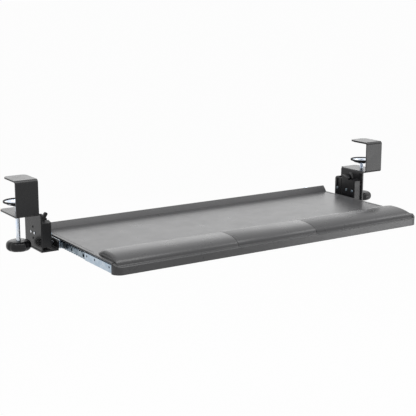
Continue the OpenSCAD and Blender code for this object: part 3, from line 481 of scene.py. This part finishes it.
def end_stations(low, high, radius):
    """Places along a bar and how far each ring is drawn in, so that both ends are rounded."""
    turn = np.radians(np.linspace(0, 90, END_STEPS + 1))
    reach, drawn = radius * (1 - np.cos(turn)), radius * (1 - np.sin(turn))
    places = np.concatenate([low + reach, high - reach[::-1]])
    return places, np.concatenate([drawn, drawn[::-1]])


print("a bar with rounded ends takes", len(end_stations(0.0, 1.0, 0.1)[0]), "rings")

# %% [markdown]
# The palm rest is three mouldings in a row. Seen from the side, each is a long hump: a thin
# foot on the front rail, a flat ledge, a small cove, a full front curve and a slow fall to
# the panel. A circle or an ellipse looks too soft at the front, so that curve is a
# super-ellipse, whose power sets how full it is.

# %% palm rest: side view
TRAY_TOP, FIELD_Z = 20.3, 19.86
PALM_DEPTH, CREST_Y, CREST_Z = 100.0, 59.0, 30.0
LEDGE_Y, LEDGE_Z, LEDGE_EDGE, LEDGE_FLAT = 9.0, 14.5, 1.45, 4.5
FOOT_Z, FOOT_BACK, COVE_R, COVE_CLEAR = 13.0, 13.55, 2.0, 0.2
PALM_POWER, FALL_POWER, FRONT_POINTS, FALL_POINTS = 2.4, 1.5, 40, 25
TAIL_Z, TAIL_FLAT, TAIL_STEP = FIELD_Z - 0.08, 4.0, 5.0


def palm_loop():
    """The side view of the palm rest as a closed loop of (y, z) points.
    Front curve: |(crest - y) / span| ** p + |(z - ledge) / rise| ** p = 1. Rear: a falling cosine.
    The ledge's front edge is a quarter ellipse, twice as deep as it is high."""
    turn = np.radians(np.linspace(3, 90, FRONT_POINTS))
    span, rise = CREST_Y - LEDGE_Y, CREST_Z - LEDGE_Z
    front = np.stack([CREST_Y - span * np.cos(turn) ** (2 / PALM_POWER),
                      LEDGE_Z + rise * np.sin(turn) ** (2 / PALM_POWER)], -1)
    front = front[front[:, 1] > LEDGE_Z + COVE_R + COVE_CLEAR]
    fall = np.linspace(0, 1, FALL_POINTS + 1)[1:]
    rear = np.stack([CREST_Y + (PALM_DEPTH - CREST_Y) * fall,
                     TAIL_Z + (CREST_Z - TAIL_Z) * (1 + np.cos(np.pi * fall ** FALL_POWER)) / 2], -1)
    edge = corner_arc(LEDGE_EDGE, LEDGE_Z - LEDGE_EDGE, LEDGE_EDGE, 180, 90, steps=8) * [2, 1]
    cove = corner_arc(LEDGE_Y - COVE_R, LEDGE_Z + COVE_R, COVE_R, -90, -20, steps=6)
    under = [[PALM_DEPTH - TAIL_FLAT, TAIL_Z], [PALM_DEPTH - TAIL_STEP, TRAY_TOP],
             [FOOT_BACK, TRAY_TOP], [FOOT_BACK, FOOT_Z]]
    return np.concatenate([[[0.0, FOOT_Z]], edge, [[LEDGE_FLAT, LEDGE_Z]], cove, front, rear, under])


PALM_POINTS = len(palm_loop())
print("palm profile points", PALM_POINTS)

# %% [markdown]
# At the tray's ends the palm rest stops short of the side, so that a flat border shows
# beside it. There the hump rounds over and comes down nearly to the panel, its rear corner
# is drawn in, and its ledge follows the rail's corner. Cutting the corner off and rounding
# it afterwards would leave a crease, so the profile itself shrinks ring by ring instead.

# %% palm rest: the profile near an outer end
TRAY_HALF, END_INSET = 350.0, 6.8
END_ROUND, END_LEVEL = 9.0, 0.12
REAR_CORNER, REAR_DRAW, RAIL_CORNER = 26.0, 0.68, 16.0


def ellipse_share(from_end, span):
    """How far a quarter ellipse has risen at a distance from the end: 0 at the end, 1 from span on."""
    return math.sqrt(max(0.0, 1 - (1 - min(from_end, span) / span) ** 2))


def end_loop(loop, from_end):
    """The palm profile near an outer end: a lower hump, a shorter tail and the rail's corner."""
    y, z = loop[:, 0].copy(), loop[:, 1].copy()
    hump, tail, ledge = z > TRAY_TOP, y > CREST_Y, y < LEDGE_Y
    level = END_LEVEL + (1 - END_LEVEL) * ellipse_share(from_end, END_ROUND)
    loop[hump, 1] = TRAY_TOP + (z[hump] - TRAY_TOP) * level
    drawn = REAR_DRAW * (1 - ellipse_share(from_end, REAR_CORNER))
    loop[tail, 0] = CREST_Y + (y[tail] - CREST_Y) * (1 - drawn)
    back = RAIL_CORNER * (1 - ellipse_share(from_end + END_INSET, RAIL_CORNER))
    loop[ledge, 0] = back + y[ledge] * (LEDGE_Y - back) / LEDGE_Y
    return loop


print("hump at the very end", round(end_loop(palm_loop(), 0.0)[:, 1].max() - TRAY_TOP, 2), "mm high")

# %% [markdown]
# The three mouldings meet at two seams. Both edges of a seam are rounded by half a
# millimetre, and the shadow in the small V between them is what makes it read as a thin
# dark line. A painted line would stay the same in every light, and a real seam doesn't.

# %% palm rest: rounded edges at the seams
SEAM_ROUND, THIN = 0.45, 1.5


def seam_loop(loop, inward):
    """The profile drawn in for a rounded edge, and less so where the moulding is thin.
    share = height above what it lies on / THIN, at most 1, so that no wall turns inside out."""
    base = np.where(loop[:, 0] > FOOT_BACK, TRAY_TOP, FOOT_Z)
    share = np.clip((loop[:, 1] - base) / THIN, 0, 1)[:, None]
    return loop + (inset_loop(loop, inward) - loop) * share


print("crest at the seam", round(CREST_Z - seam_loop(palm_loop(), SEAM_ROUND)[:, 1].max(), 2), "mm lower")

# %% [markdown]
# Beside the palm rest's ends a low nose fills the corner between the front rail and the
# panel. It could be a piece of its own, but then a joint would show as a line. So its rings
# have as many points as the palm profile and simply continue the same skin.

# %% palm rest: the low nose at the front corners
NOSE_END, NOSE_SIDE, NOSE_LIFT, NOSE_RINGS, SKIN = 17.5, 0.7, 0.03, 12, 0.02


def nose_loop(from_end):
    """The nose's side view as a closed loop of (y, z) points, as many as the palm profile has.
    It stands on the rail's rounded corner and rises evenly to the panel: z = foot + rise * y / corner."""
    back = RAIL_CORNER * (1 - ellipse_share(from_end, RAIL_CORNER))
    under = [[NOSE_END, TRAY_TOP], [NOSE_END - 0.1, TRAY_TOP], [FOOT_BACK, TRAY_TOP], [FOOT_BACK, FOOT_Z]]
    y = np.linspace(back, NOSE_END, PALM_POINTS - 1 - len(under))
    top = np.column_stack([y, FOOT_Z + (TRAY_TOP + NOSE_LIFT - FOOT_Z) * np.minimum(y / RAIL_CORNER, 1)])
    return np.concatenate([[[back, FOOT_Z]], top, under])


def nose_rings(outwards):
    """Rings of the nose, from just inside the tray's side to the palm rest's end.
    outwards is -1 at the left end and 1 at the right end."""
    return [np.insert(nose_loop(from_end), 0, outwards * (TRAY_HALF - from_end), axis=1)
            for from_end in np.linspace(NOSE_SIDE, END_INSET - SKIN, NOSE_RINGS)]


print("nose", round(END_INSET - SKIN - NOSE_SIDE, 2), "mm wide")

# %% [markdown]
# Now each moulding is put together from rings along x. They stand closest where the shape
# changes fastest: in the rounded edges, and near an outer end, where cosine steps crowd
# towards the end. Even steps would need ten times as many rings for the same smoothness.

# %% palm rest: the three mouldings
NEAR_FROM, NEAR_RINGS = 4, 36


def palm_rings(low, high, round_low, round_high):
    """Rings of the palm profile along x. round_low and round_high say which ends are outer ends."""
    low, high = low + END_INSET * round_low, high - END_INSET * round_high
    places, drawn = end_stations(low, high, SEAM_ROUND)
    near = REAR_CORNER * (1 - np.cos(np.radians(np.linspace(NEAR_FROM, 90, NEAR_RINGS))))
    for outer_end, stations in ((round_low, low + near), (round_high, high - near)):
        if outer_end:
            places = np.append(places, stations)
    drawn = np.append(drawn, np.zeros(len(places) - len(drawn)))
    rings = []
    for x, inward in sorted(zip(places, drawn)):
        loop = end_loop(palm_loop(), TRAY_HALF - END_INSET - abs(x))
        rings.append(np.insert(seam_loop(loop, inward), 0, x, axis=1))
    if round_low:
        rings = nose_rings(-1) + rings
    if round_high:
        rings = rings + nose_rings(1)[::-1]
    return np.array(rings)


for side in ("left", "middle", "right"):
    node = "palm_rest_" + side
    low, high = node_box(node)
    rings = palm_rings(low[0], high[0], side == "left", side == "right")
    dress_rings(node, "moulding", rings, smooth=50)

# %% [markdown]
# The tray panel is a thin plate whose working field lies a little lower than its border,
# so that a narrow rim with a fine groove runs along each side. The field could be a second
# piece sunk into the first, but one moulding has no joint there. So it is drawn as cross
# sections seen from the front, carried along y, with a lower field in the middle ones.

# %% tray panel
PANEL_EDGE, PANEL_CHAMFER = 0.9, 0.4
RIM_W, RIM_STEP, GROOVE = 6.0, 2.0, 0.8
SHOULDER_AT, SHOULDER_DEEP, GROOVE_AT = 0.3, 0.4, 0.5
PALM_LAP, STRIP_LAP, SINK_STEP = 6.0, 3.0, 0.5


def panel_section(field_z, under_z):
    """The panel seen from the front: flat below, rounded edges, a rim, a groove and a sunken field.
    The groove is as deep as GROOVE where the field is sunk, and nothing where it isn't."""
    half, groove = TRAY_HALF, GROOVE * float(field_z < TRAY_TOP)
    rim = half - RIM_W
    shoulder_z = TRAY_TOP - (TRAY_TOP - field_z) * SHOULDER_AT - groove * SHOULDER_DEEP
    right = np.concatenate([
        [[half - PANEL_CHAMFER, under_z], [half, under_z + PANEL_CHAMFER]],
        corner_arc(half - PANEL_EDGE, TRAY_TOP - PANEL_EDGE, PANEL_EDGE, 0, 90, steps=5),
        [[rim, TRAY_TOP], [rim - RIM_STEP * SHOULDER_AT, shoulder_z],
         [rim - RIM_STEP * GROOVE_AT, field_z - groove], [rim - RIM_STEP, field_z]]])
    return np.concatenate([right, right[::-1] * [-1, 1]])


low, high = node_box("tray_panel")
sink_from, sink_to = PALM_DEPTH - PALM_LAP, node_box("rear_stop_strip")[0][1] + STRIP_LAP
stations = [(low[1], TRAY_TOP), (sink_from, TRAY_TOP), (sink_from + SINK_STEP, FIELD_Z),
            (sink_to, FIELD_Z), (sink_to + SINK_STEP, TRAY_TOP), (high[1], TRAY_TOP)]
rings = np.array([np.insert(panel_section(z, low[2]), 1, y, axis=1) for y, z in stations])
dress_rings("tray_panel", "sheet", rings, smooth=25)

# %% [markdown]
# The rear stop strip is a wedge that keeps things from rolling off the back. Its section
# has a soft top edge and a skirt behind the panel. A block with a bevel would lose the thin
# toe, so the section is drawn point by point and swept along x. The skirt ends inside the
# slides, which the tray's back edge passes as it slides in.

# %% rear stop strip: its section
low, high = node_box("rear_stop_strip")
STRIP_SINK, TOE_IN, TOE_RISE = 0.1, 0.3, 0.9
STRIP_EDGE, STRIP_TOP_BACK, STRIP_END = 1.1, 1.8, 0.5
SKIRT_W, SKIRT_CHAMFER, SKIRT_CUT, SKIRT_SLOPE = 2.2, 0.4, 0.01, 0.02
SKIRT_HALF, SKIRT_TOP = node_box("side_rail_right")[1][0], node_box("tray_panel")[0][2]
back, top, bottom = high[1], high[2], low[2]
strip_loop = np.concatenate([
    [[low[1], FIELD_Z - STRIP_SINK], [low[1] + TOE_IN, FIELD_Z + TOE_RISE]],
    corner_arc(back - STRIP_TOP_BACK, top - STRIP_EDGE, STRIP_EDGE, 138, 90, steps=6),
    corner_arc(back - STRIP_EDGE, top - STRIP_EDGE, STRIP_EDGE, 90, 0, steps=6),
    [[back, bottom + SKIRT_CHAMFER], [back - SKIRT_CHAMFER, bottom],
     [back - SKIRT_W + SKIRT_CHAMFER, bottom], [back - SKIRT_W, bottom + SKIRT_CHAMFER],
     [back - SKIRT_W, FIELD_Z - STRIP_SINK]]])
short_loop = strip_loop.copy()
short_loop[:, 1] = np.maximum(short_loop[:, 1], SKIRT_TOP + SKIRT_SLOPE * (strip_loop[:, 1] - bottom))
print("strip section points", len(strip_loop), "skirt", round(SKIRT_TOP - bottom, 2), "mm deep")

# %% rear stop strip: the sweep
places, drawn = end_stations(low[0], high[0], STRIP_END)
cuts = [(x, loop, 0.0) for x, loop in ((-SKIRT_HALF, short_loop), (SKIRT_CUT - SKIRT_HALF, strip_loop),
                                       (SKIRT_HALF - SKIRT_CUT, strip_loop), (SKIRT_HALF, short_loop))]
ends = [(x, short_loop, inward) for x, inward in zip(places, drawn)]
rings = np.array([np.column_stack([np.full(len(loop), x), inset_loop(loop, inward)])
                  for x, loop, inward in sorted(cuts + ends, key=lambda cut: cut[0])])
dress_rings("rear_stop_strip", "moulding", rings, smooth=35)

# %% [markdown]
# Knobs, screws and pads are all round. Each is a profile of radius and height, carried
# round an upright axis. Spinning an edge by hand does the same, but a function can also
# change the radius on the way round, which the knob needs.

# %% helpers for turned parts
SIDES = ("left", "right")


def round_size(node):
    """Lowest and highest z of a round node, the middle of its circle (x, y) and its radius."""
    low, high = node_box(node)
    return low[2], high[2], (low[:2] + high[:2]) / 2, (high[0] - low[0]) / 2


def turned(profile, centre, around, shape=None):
    """Rings of a profile of (radius, z) points round a vertical axis at centre (x, y).
    shape(angle, radius) may change the radius as it goes round."""
    profile = np.asarray(profile, float)
    angle = np.linspace(0, 2 * np.pi, around, endpoint=False)
    radius = np.repeat(profile[:, :1], around, 1)
    if shape is not None:
        radius = shape(angle[None, :], radius)
    x = centre[0] + radius * np.cos(angle)
    y = centre[1] + radius * np.sin(angle)
    return np.stack([x, y, np.repeat(profile[:, 1:], around, 1)], -1)


print("knob radius", round(round_size("clamp_knob_left")[3], 2), "mm")

# %% [markdown]
# The clamp's knob is a thick moulded disc with eight finger hollows round its rim. Eight
# rods could be cut out of a disc, but the cut edges would need rounding afterwards. So the
# radius is cut back where a circle beside the knob bites into it, and a soft minimum blends
# the bite into the rim.

# %% lobed knobs
LOBES, HOLLOW_R, HOLLOW, SOFTNESS = 8, 10.0, 1.3, 2.2
KNOB_BEND, RECESS, RECESS_IN, RECESS_OUT = 8.4, 0.6, 0.4, 0.44
COLLAR_FOOT, COLLAR_R, COLLAR_RISE = 9.5, 8.6, 0.25
SOCKET_R, SOCKET_FLOOR_R, SOCKET_DEEP = 4.6, 4.2, 0.8


def lobed(angle, radius):
    """The hollow's circle has its centre outside the knob, so the cut is deepest between lobes.
    Near a hollow the radius is c * cos(a) - sqrt(r^2 - (c * sin(a))^2), with c the centre's distance."""
    outer = radius.max()
    centre = outer + HOLLOW_R - HOLLOW
    turn = 2 * np.pi / LOBES
    off = angle % turn - turn / 2
    inside = HOLLOW_R ** 2 - (centre * np.sin(off)) ** 2
    cut = np.where(inside > 0, centre * np.cos(off) - np.sqrt(np.maximum(inside, 0)), outer)
    keep = np.minimum(cut, outer)
    soft = -np.log(np.exp(-SOFTNESS * keep) + np.exp(-SOFTNESS * outer)) / SOFTNESS
    return radius * np.minimum(soft, outer) / outer


for side in SIDES:
    bottom, top, middle, radius = round_size("clamp_knob_" + side)
    profile = np.concatenate([
        [[0, bottom + RECESS], [radius * RECESS_IN, bottom + RECESS], [radius * RECESS_OUT, bottom]],
        corner_arc(radius - KNOB_BEND, bottom + KNOB_BEND, KNOB_BEND, -90, 0, steps=12),
        corner_arc(radius - KNOB_BEND, top - KNOB_BEND, KNOB_BEND, 0, 85, steps=12),
        [[COLLAR_FOOT, top - COLLAR_RISE], [COLLAR_R, top], [SOCKET_R, top],
         [SOCKET_FLOOR_R, top - SOCKET_DEEP], [0, top - SOCKET_DEEP]]])
    rings = turned(profile, middle, around=144, shape=lobed)
    dress_rings("clamp_knob_" + side, "lobed", rings, smooth=45)

# %% [markdown]
# The clamp screw is a bright rod with a real thread, 1.25 mm to the turn. A stack of plain
# rings would look like a thread from afar, but it wouldn't climb when the screw turns. The
# flank here is a triangle wave of height and angle together, so it runs up as a helix.

# %% threaded clamp screws
THREAD_PITCH, THREAD_DEPTH, THREAD_STEPS, THREAD_AROUND = 1.25, 0.3, 8, 28
FLANK_STEEP, FLANK_CUT = 1.25, 0.1
PLAIN_BELOW, PLAIN_ABOVE, RUN_OUT = 15.5, 7.0, 1.5
TIP_CHAMFER, TIP_SHARE = 0.6, 0.85


def threaded(bottom, top, radius, centre):
    """Radius = outer - depth * wave(z / pitch - angle / turn). The wave is a triangle, cut flat
    at root and crest. It fades out towards the plain lengths, and both tips are chamfered."""
    z = np.linspace(bottom, top, int((top - bottom) / THREAD_PITCH * THREAD_STEPS))[:, None]
    angle = np.linspace(0, 2 * np.pi, THREAD_AROUND, endpoint=False)[None, :]
    phase = (z / THREAD_PITCH - angle / (2 * np.pi)) % 1.0
    wave = np.clip(np.abs(phase * 2 - 1) * FLANK_STEEP - FLANK_CUT, 0, 1)
    fade = (np.clip((z - bottom - PLAIN_BELOW) / RUN_OUT, 0, 1)
            * np.clip((top - PLAIN_ABOVE - z) / RUN_OUT, 0, 1))
    chamfer = (np.clip((z - bottom) / TIP_CHAMFER, TIP_SHARE, 1)
               * np.clip((top - z) / TIP_CHAMFER, TIP_SHARE, 1))
    r = (radius - THREAD_DEPTH * wave * fade) * chamfer
    return np.stack([centre[0] + r * np.cos(angle), centre[1] + r * np.sin(angle),
                     np.repeat(z, THREAD_AROUND, 1)], -1)


for side in SIDES:
    bottom, top, middle, radius = round_size("clamp_screw_" + side)
    dress_rings("clamp_screw_" + side, "thread", threaded(bottom, top, radius, middle), smooth=60)

# %% [markdown]
# The pressure pad is a dish pressed from sheet: a hub for the screw's tip, a sloping floor,
# a curved wall and a rim. A flat disc would be simpler, but from the front its dark
# underside and bright rim are what the eye sees. One profile runs up the outside and back
# down the inside, and the hub's bore closes it.

# %% pressure pads: the dish's profile
HUB_R, HUB_EDGE, HUB_TOP, BORE_R, BORE_TOP, DISH_RIM = 8.5, 0.8, 6.3, 4.1, 5.0, 6.0


def dish_profile(floor_z, rim_z, radius):
    """The dish's (radius, z) points: the bore's top, the outside up to the rim, the inside back."""
    wall = radius - DISH_RIM
    outside = np.concatenate([
        [[0, floor_z + BORE_TOP], [BORE_R, floor_z + BORE_TOP],
         [BORE_R, floor_z], [HUB_R - HUB_EDGE, floor_z]],
        corner_arc(HUB_R - HUB_EDGE, floor_z + HUB_EDGE, HUB_EDGE, -90, -20, steps=4),
        [[HUB_R + 3, floor_z + 1.6], [wall - 4, floor_z + 2.6], [wall - 1, floor_z + 3.2],
         [wall + 0.5, floor_z + 4.0], [wall + 1.4, floor_z + 5.4], [radius - 3.0, floor_z + 6.6],
         [radius - 0.8, rim_z - 1.2], [radius, rim_z - 0.6], [radius, rim_z]]])
    inside = [[radius - 1, rim_z], [radius - 1.6, rim_z - 0.5], [radius - 3.6, floor_z + 7.5],
              [wall, floor_z + 6.0], [wall - 0.8, floor_z + 4.9], [wall - 4, floor_z + 3.9],
              [HUB_R + 3, floor_z + 3.0], [HUB_R + 1.2, floor_z + 3.9], [HUB_R, floor_z + 5.6],
              [HUB_R - HUB_EDGE, floor_z + HUB_TOP], [0, floor_z + HUB_TOP]]
    return np.concatenate([outside, inside])


pad_bottom, pad_top, _, pad_radius = round_size("pressure_pad_left")
print("dish", round(2 * pad_radius, 1), "mm wide,", len(dish_profile(pad_bottom, pad_top, pad_radius)),
      "profile points")

# %% [markdown]
# A rubber ring caps the dish's rim, so that it doesn't mark the desk. It is a fat rounded
# band, open below where the rim goes in. A plain torus would hide the rim's edge, so the
# band has its own closed outline. It is turned about the dish's axis, so that both stay
# centred, and needs no end faces, because its last ring meets its first.

# %% pressure pads and their rubber rings
BAND_EDGE, BAND_TOP_IN, BAND_IN, BAND_IN_DROP = 0.9, 2.1, 3.0, 1.5
LIP_IN, LIP_RISE, LIP_FOOT, PAD_AROUND = 1.2, 1.9, 1.1, 96


def band_profile(bottom, top, outer):
    """The ring's (radius, z) points as a closed outline, which ends where it began."""
    band = np.concatenate([
        corner_arc(outer - BAND_EDGE, bottom + BAND_EDGE, BAND_EDGE, -90, 0, steps=5),
        corner_arc(outer - BAND_EDGE, top - BAND_EDGE, BAND_EDGE, 0, 90, steps=5),
        corner_arc(outer - BAND_TOP_IN, top - BAND_EDGE, BAND_EDGE, 90, 180, steps=5),
        [[outer - BAND_IN, top - BAND_IN_DROP], [outer - LIP_IN, bottom + LIP_RISE],
         [outer - LIP_FOOT, bottom]]])
    return np.concatenate([band, band[:1]])


for side in SIDES:
    bottom, top, middle, radius = round_size("pressure_pad_" + side)
    dish = turned(dish_profile(bottom, top, radius), middle, PAD_AROUND)
    dress_rings("pressure_pad_" + side, "dish", dish, smooth=50)
    bottom, top, _, radius = round_size("pad_ring_" + side)
    band = turned(band_profile(bottom, top, radius), middle, PAD_AROUND)
    dress_rings("pad_ring_" + side, "band", band, smooth=60, capped=False)

# %% [markdown]
# Bent steel and mouldings never have knife edges. For the pieces whose form is already
# right, it would be a waste to draw them again. A copy of the solid's mesh is merged and
# cleaned, and a narrow bevel rounds it. The bevel catches the light along each edge, which
# is most of what the eye reads. The slides' thin rolled edges and the front rail, which
# the palm rest covers, get the smallest one.

# %% helper for rounded copies
MERGE, FLAT_ANGLE, BEVEL_ANGLE, SMOOTH_ANGLE = 3e-6, 0.6, 28, 48


def rounded(node, radius, segments):
    """A copy of a node's mesh with its flat triangles joined and its sharp edges rounded.
    radius is in millimetres."""
    source = bmesh.new()
    source.from_mesh(frame["nodes"][node].data)
    bmesh.ops.remove_doubles(source, verts=source.verts, dist=MERGE)
    bmesh.ops.dissolve_limit(source, angle_limit=math.radians(FLAT_ANGLE), verts=source.verts,
                             edges=source.edges)
    points = np.array([v.co for v in source.verts])
    source.verts.index_update()
    faces = [[v.index for v in f.verts] for f in source.faces]
    source.free()
    piece = new_piece(node + "_rounded", points, faces)
    dress(piece, node, SMOOTH_ANGLE)
    bevel = piece.modifiers.new("edges", "BEVEL")
    bevel.width, bevel.segments = radius * MM, segments
    bevel.limit_method, bevel.angle_limit = "ANGLE", math.radians(BEVEL_ANGLE)
    bevel.use_clamp_overlap = True
    bevel.miter_outer = "MITER_ARC"
    piece.modifiers.new("shading", "WEIGHTED_NORMAL").keep_sharp = True


print("edges sharper than", BEVEL_ANGLE, "degrees are rounded")

# %% rounded copies of the solid pieces
PAIRED_EDGES = {"clamp_bracket": 0.6, "slide_bracket": 0.5, "lock_housing": 0.8, "guide_post": 0.7,
                "lock_lever": 1.8, "jaw_pad": 0.4, "brake_bar": 0.3, "side_rail": 0.3}
SINGLE_EDGES = {"front_rail": 0.12, "cross_brace_front": 0.25, "cross_brace_rear": 0.25,
                "housing_bolts": 0.2, "housing_rivets": 0.35, "housing_screws": 0.35,
                "guide_stop_screws": 0.3, "outer_slide_rivets": 0.2, "inner_slide_screws": 0.2,
                "inner_slide_left": 0.12, "inner_slide_right": 0.12}
for stem, radius in PAIRED_EDGES.items():
    for side in SIDES:
        rounded(stem + "_" + side, radius, 3)
for node, radius in SINGLE_EDGES.items():
    rounded(node, radius, 2)

# %% [markdown]
# The room is a white studio. A white world alone would light the object from all sides and
# flatten it. So only the rays that look at the background see pure white: those from the
# camera, and those that metal and glass send on. The light that falls on the object is
# held at a plain level.

# %% world
DAYLIGHT = 0.30
world = bpy.data.worlds.new("studio")
world.use_nodes = True
sky = world.node_tree
sky.nodes.clear()


def seen_mask(tree):
    """One where a camera, glossy or transmission ray looks, zero for diffuse light."""
    path = add(tree, "ShaderNodeLightPath")
    both = add(tree, "ShaderNodeMath", {0: path.outputs["Is Camera Ray"], 1: path.outputs["Is Glossy Ray"]},
               operation="MAXIMUM")
    return add(tree, "ShaderNodeMath", {0: both.outputs[0], 1: path.outputs["Is Transmission Ray"]},
               operation="MAXIMUM").outputs[0]


ambient = add(sky, "ShaderNodeBackground", {"Color": (1, 1, 1, 1), "Strength": DAYLIGHT})
white = add(sky, "ShaderNodeBackground", {"Color": (1, 1, 1, 1), "Strength": 1.0})
chosen = add(sky, "ShaderNodeMixShader", {"Fac": seen_mask(sky)})
sky.links.new(ambient.outputs[0], chosen.inputs[1])
sky.links.new(white.outputs[0], chosen.inputs[2])
sky_out = add(sky, "ShaderNodeOutputWorld")
sky.links.new(chosen.outputs[0], sky_out.inputs["Surface"])
bpy.context.scene.world = world
print("ambient light", DAYLIGHT)

# %% [markdown]
# The floor lies where a real one would, at desk height below the clamps. A curved backdrop
# would show a soft edge in views from other sides, so it is one wide flat sheet. It is pale,
# and for the camera most of it glows white, so that it meets the background and still takes
# the object's shadow.

# %% floor
FLOOR_Z, FLOOR_HALF, FLOOR_TONE, GLOW = -0.73, 60.0, 0.9, 0.97
corners = [(x * FLOOR_HALF, y * FLOOR_HALF, FLOOR_Z) for x, y in ((-1, -1), (1, -1), (1, 1), (-1, 1))]
floor_mesh = bpy.data.meshes.new("floor")
floor_mesh.from_pydata(corners, [], [(0, 1, 2, 3)])
floor = bpy.data.objects.new("floor", floor_mesh)
bpy.context.scene.collection.objects.link(floor)
floor_material = bpy.data.materials.new("pale_floor")
floor_material.use_nodes = True
ground = floor_material.node_tree
ground.nodes.clear()
paint = add(ground, "ShaderNodeBsdfDiffuse", {"Color": (FLOOR_TONE, FLOOR_TONE, FLOOR_TONE, 1)})
glow = add(ground, "ShaderNodeEmission", {"Color": (1, 1, 1, 1), "Strength": 1.0})
glowing = add(ground, "ShaderNodeMath", {0: seen_mask(ground), 1: GLOW}, operation="MULTIPLY")
mixed = add(ground, "ShaderNodeMixShader", {"Fac": glowing.outputs[0]})
ground.links.new(paint.outputs[0], mixed.inputs[1])
ground.links.new(glow.outputs[0], mixed.inputs[2])
ground_out = add(ground, "ShaderNodeOutputMaterial")
ground.links.new(mixed.outputs[0], ground_out.inputs["Surface"])
floor_mesh.materials.append(floor_material)
print("floor at z", FLOOR_Z)

# %% [markdown]
# Point lamps would give hard shadows, so every lamp is a soft box. A large one hangs over
# the tray and a smaller one further right, so that the palm rest's front is lighter at both
# ends than in the middle. One at the front right lifts the right clamp's face. The last
# stands low and far behind: the camera doesn't see it, but the flat tops do, because at a
# shallow angle they mirror what lies beyond them.

# %% lamps


def soft_box(name, place, target, size, energy):
    """A rectangular area lamp at place that looks at target."""
    data = bpy.data.lights.new(name, "AREA")
    data.shape = "RECTANGLE"
    data.size, data.size_y, data.energy = *size, energy
    lamp = bpy.data.objects.new(name, data)
    aim = np.array(target) - np.array(place)
    lamp.rotation_euler = Vector(aim.tolist()).to_track_quat("-Z", "Y").to_euler()
    lamp.location = place
    bpy.context.scene.collection.objects.link(lamp)
    return lamp


soft_box("overhead_box", (-0.20, -0.35, 1.25), (-0.10, -0.05, -0.1), size=(1.6, 0.95), energy=19.0)
soft_box("far_box", (1.70, -0.45, 1.25), (0.30, -0.1, -0.1), size=(0.9, 0.9), energy=7.0)
soft_box("right_box", (1.65, -1.60, -0.30), (0.42, 0.0, -0.06), size=(0.8, 1.0), energy=12.0)
back_box = soft_box("back_box", (1.30, 2.60, 0.58), (0.0, 0.0, -0.11), size=(2.4, 1.2), energy=6.5)
back_box.visible_camera = False
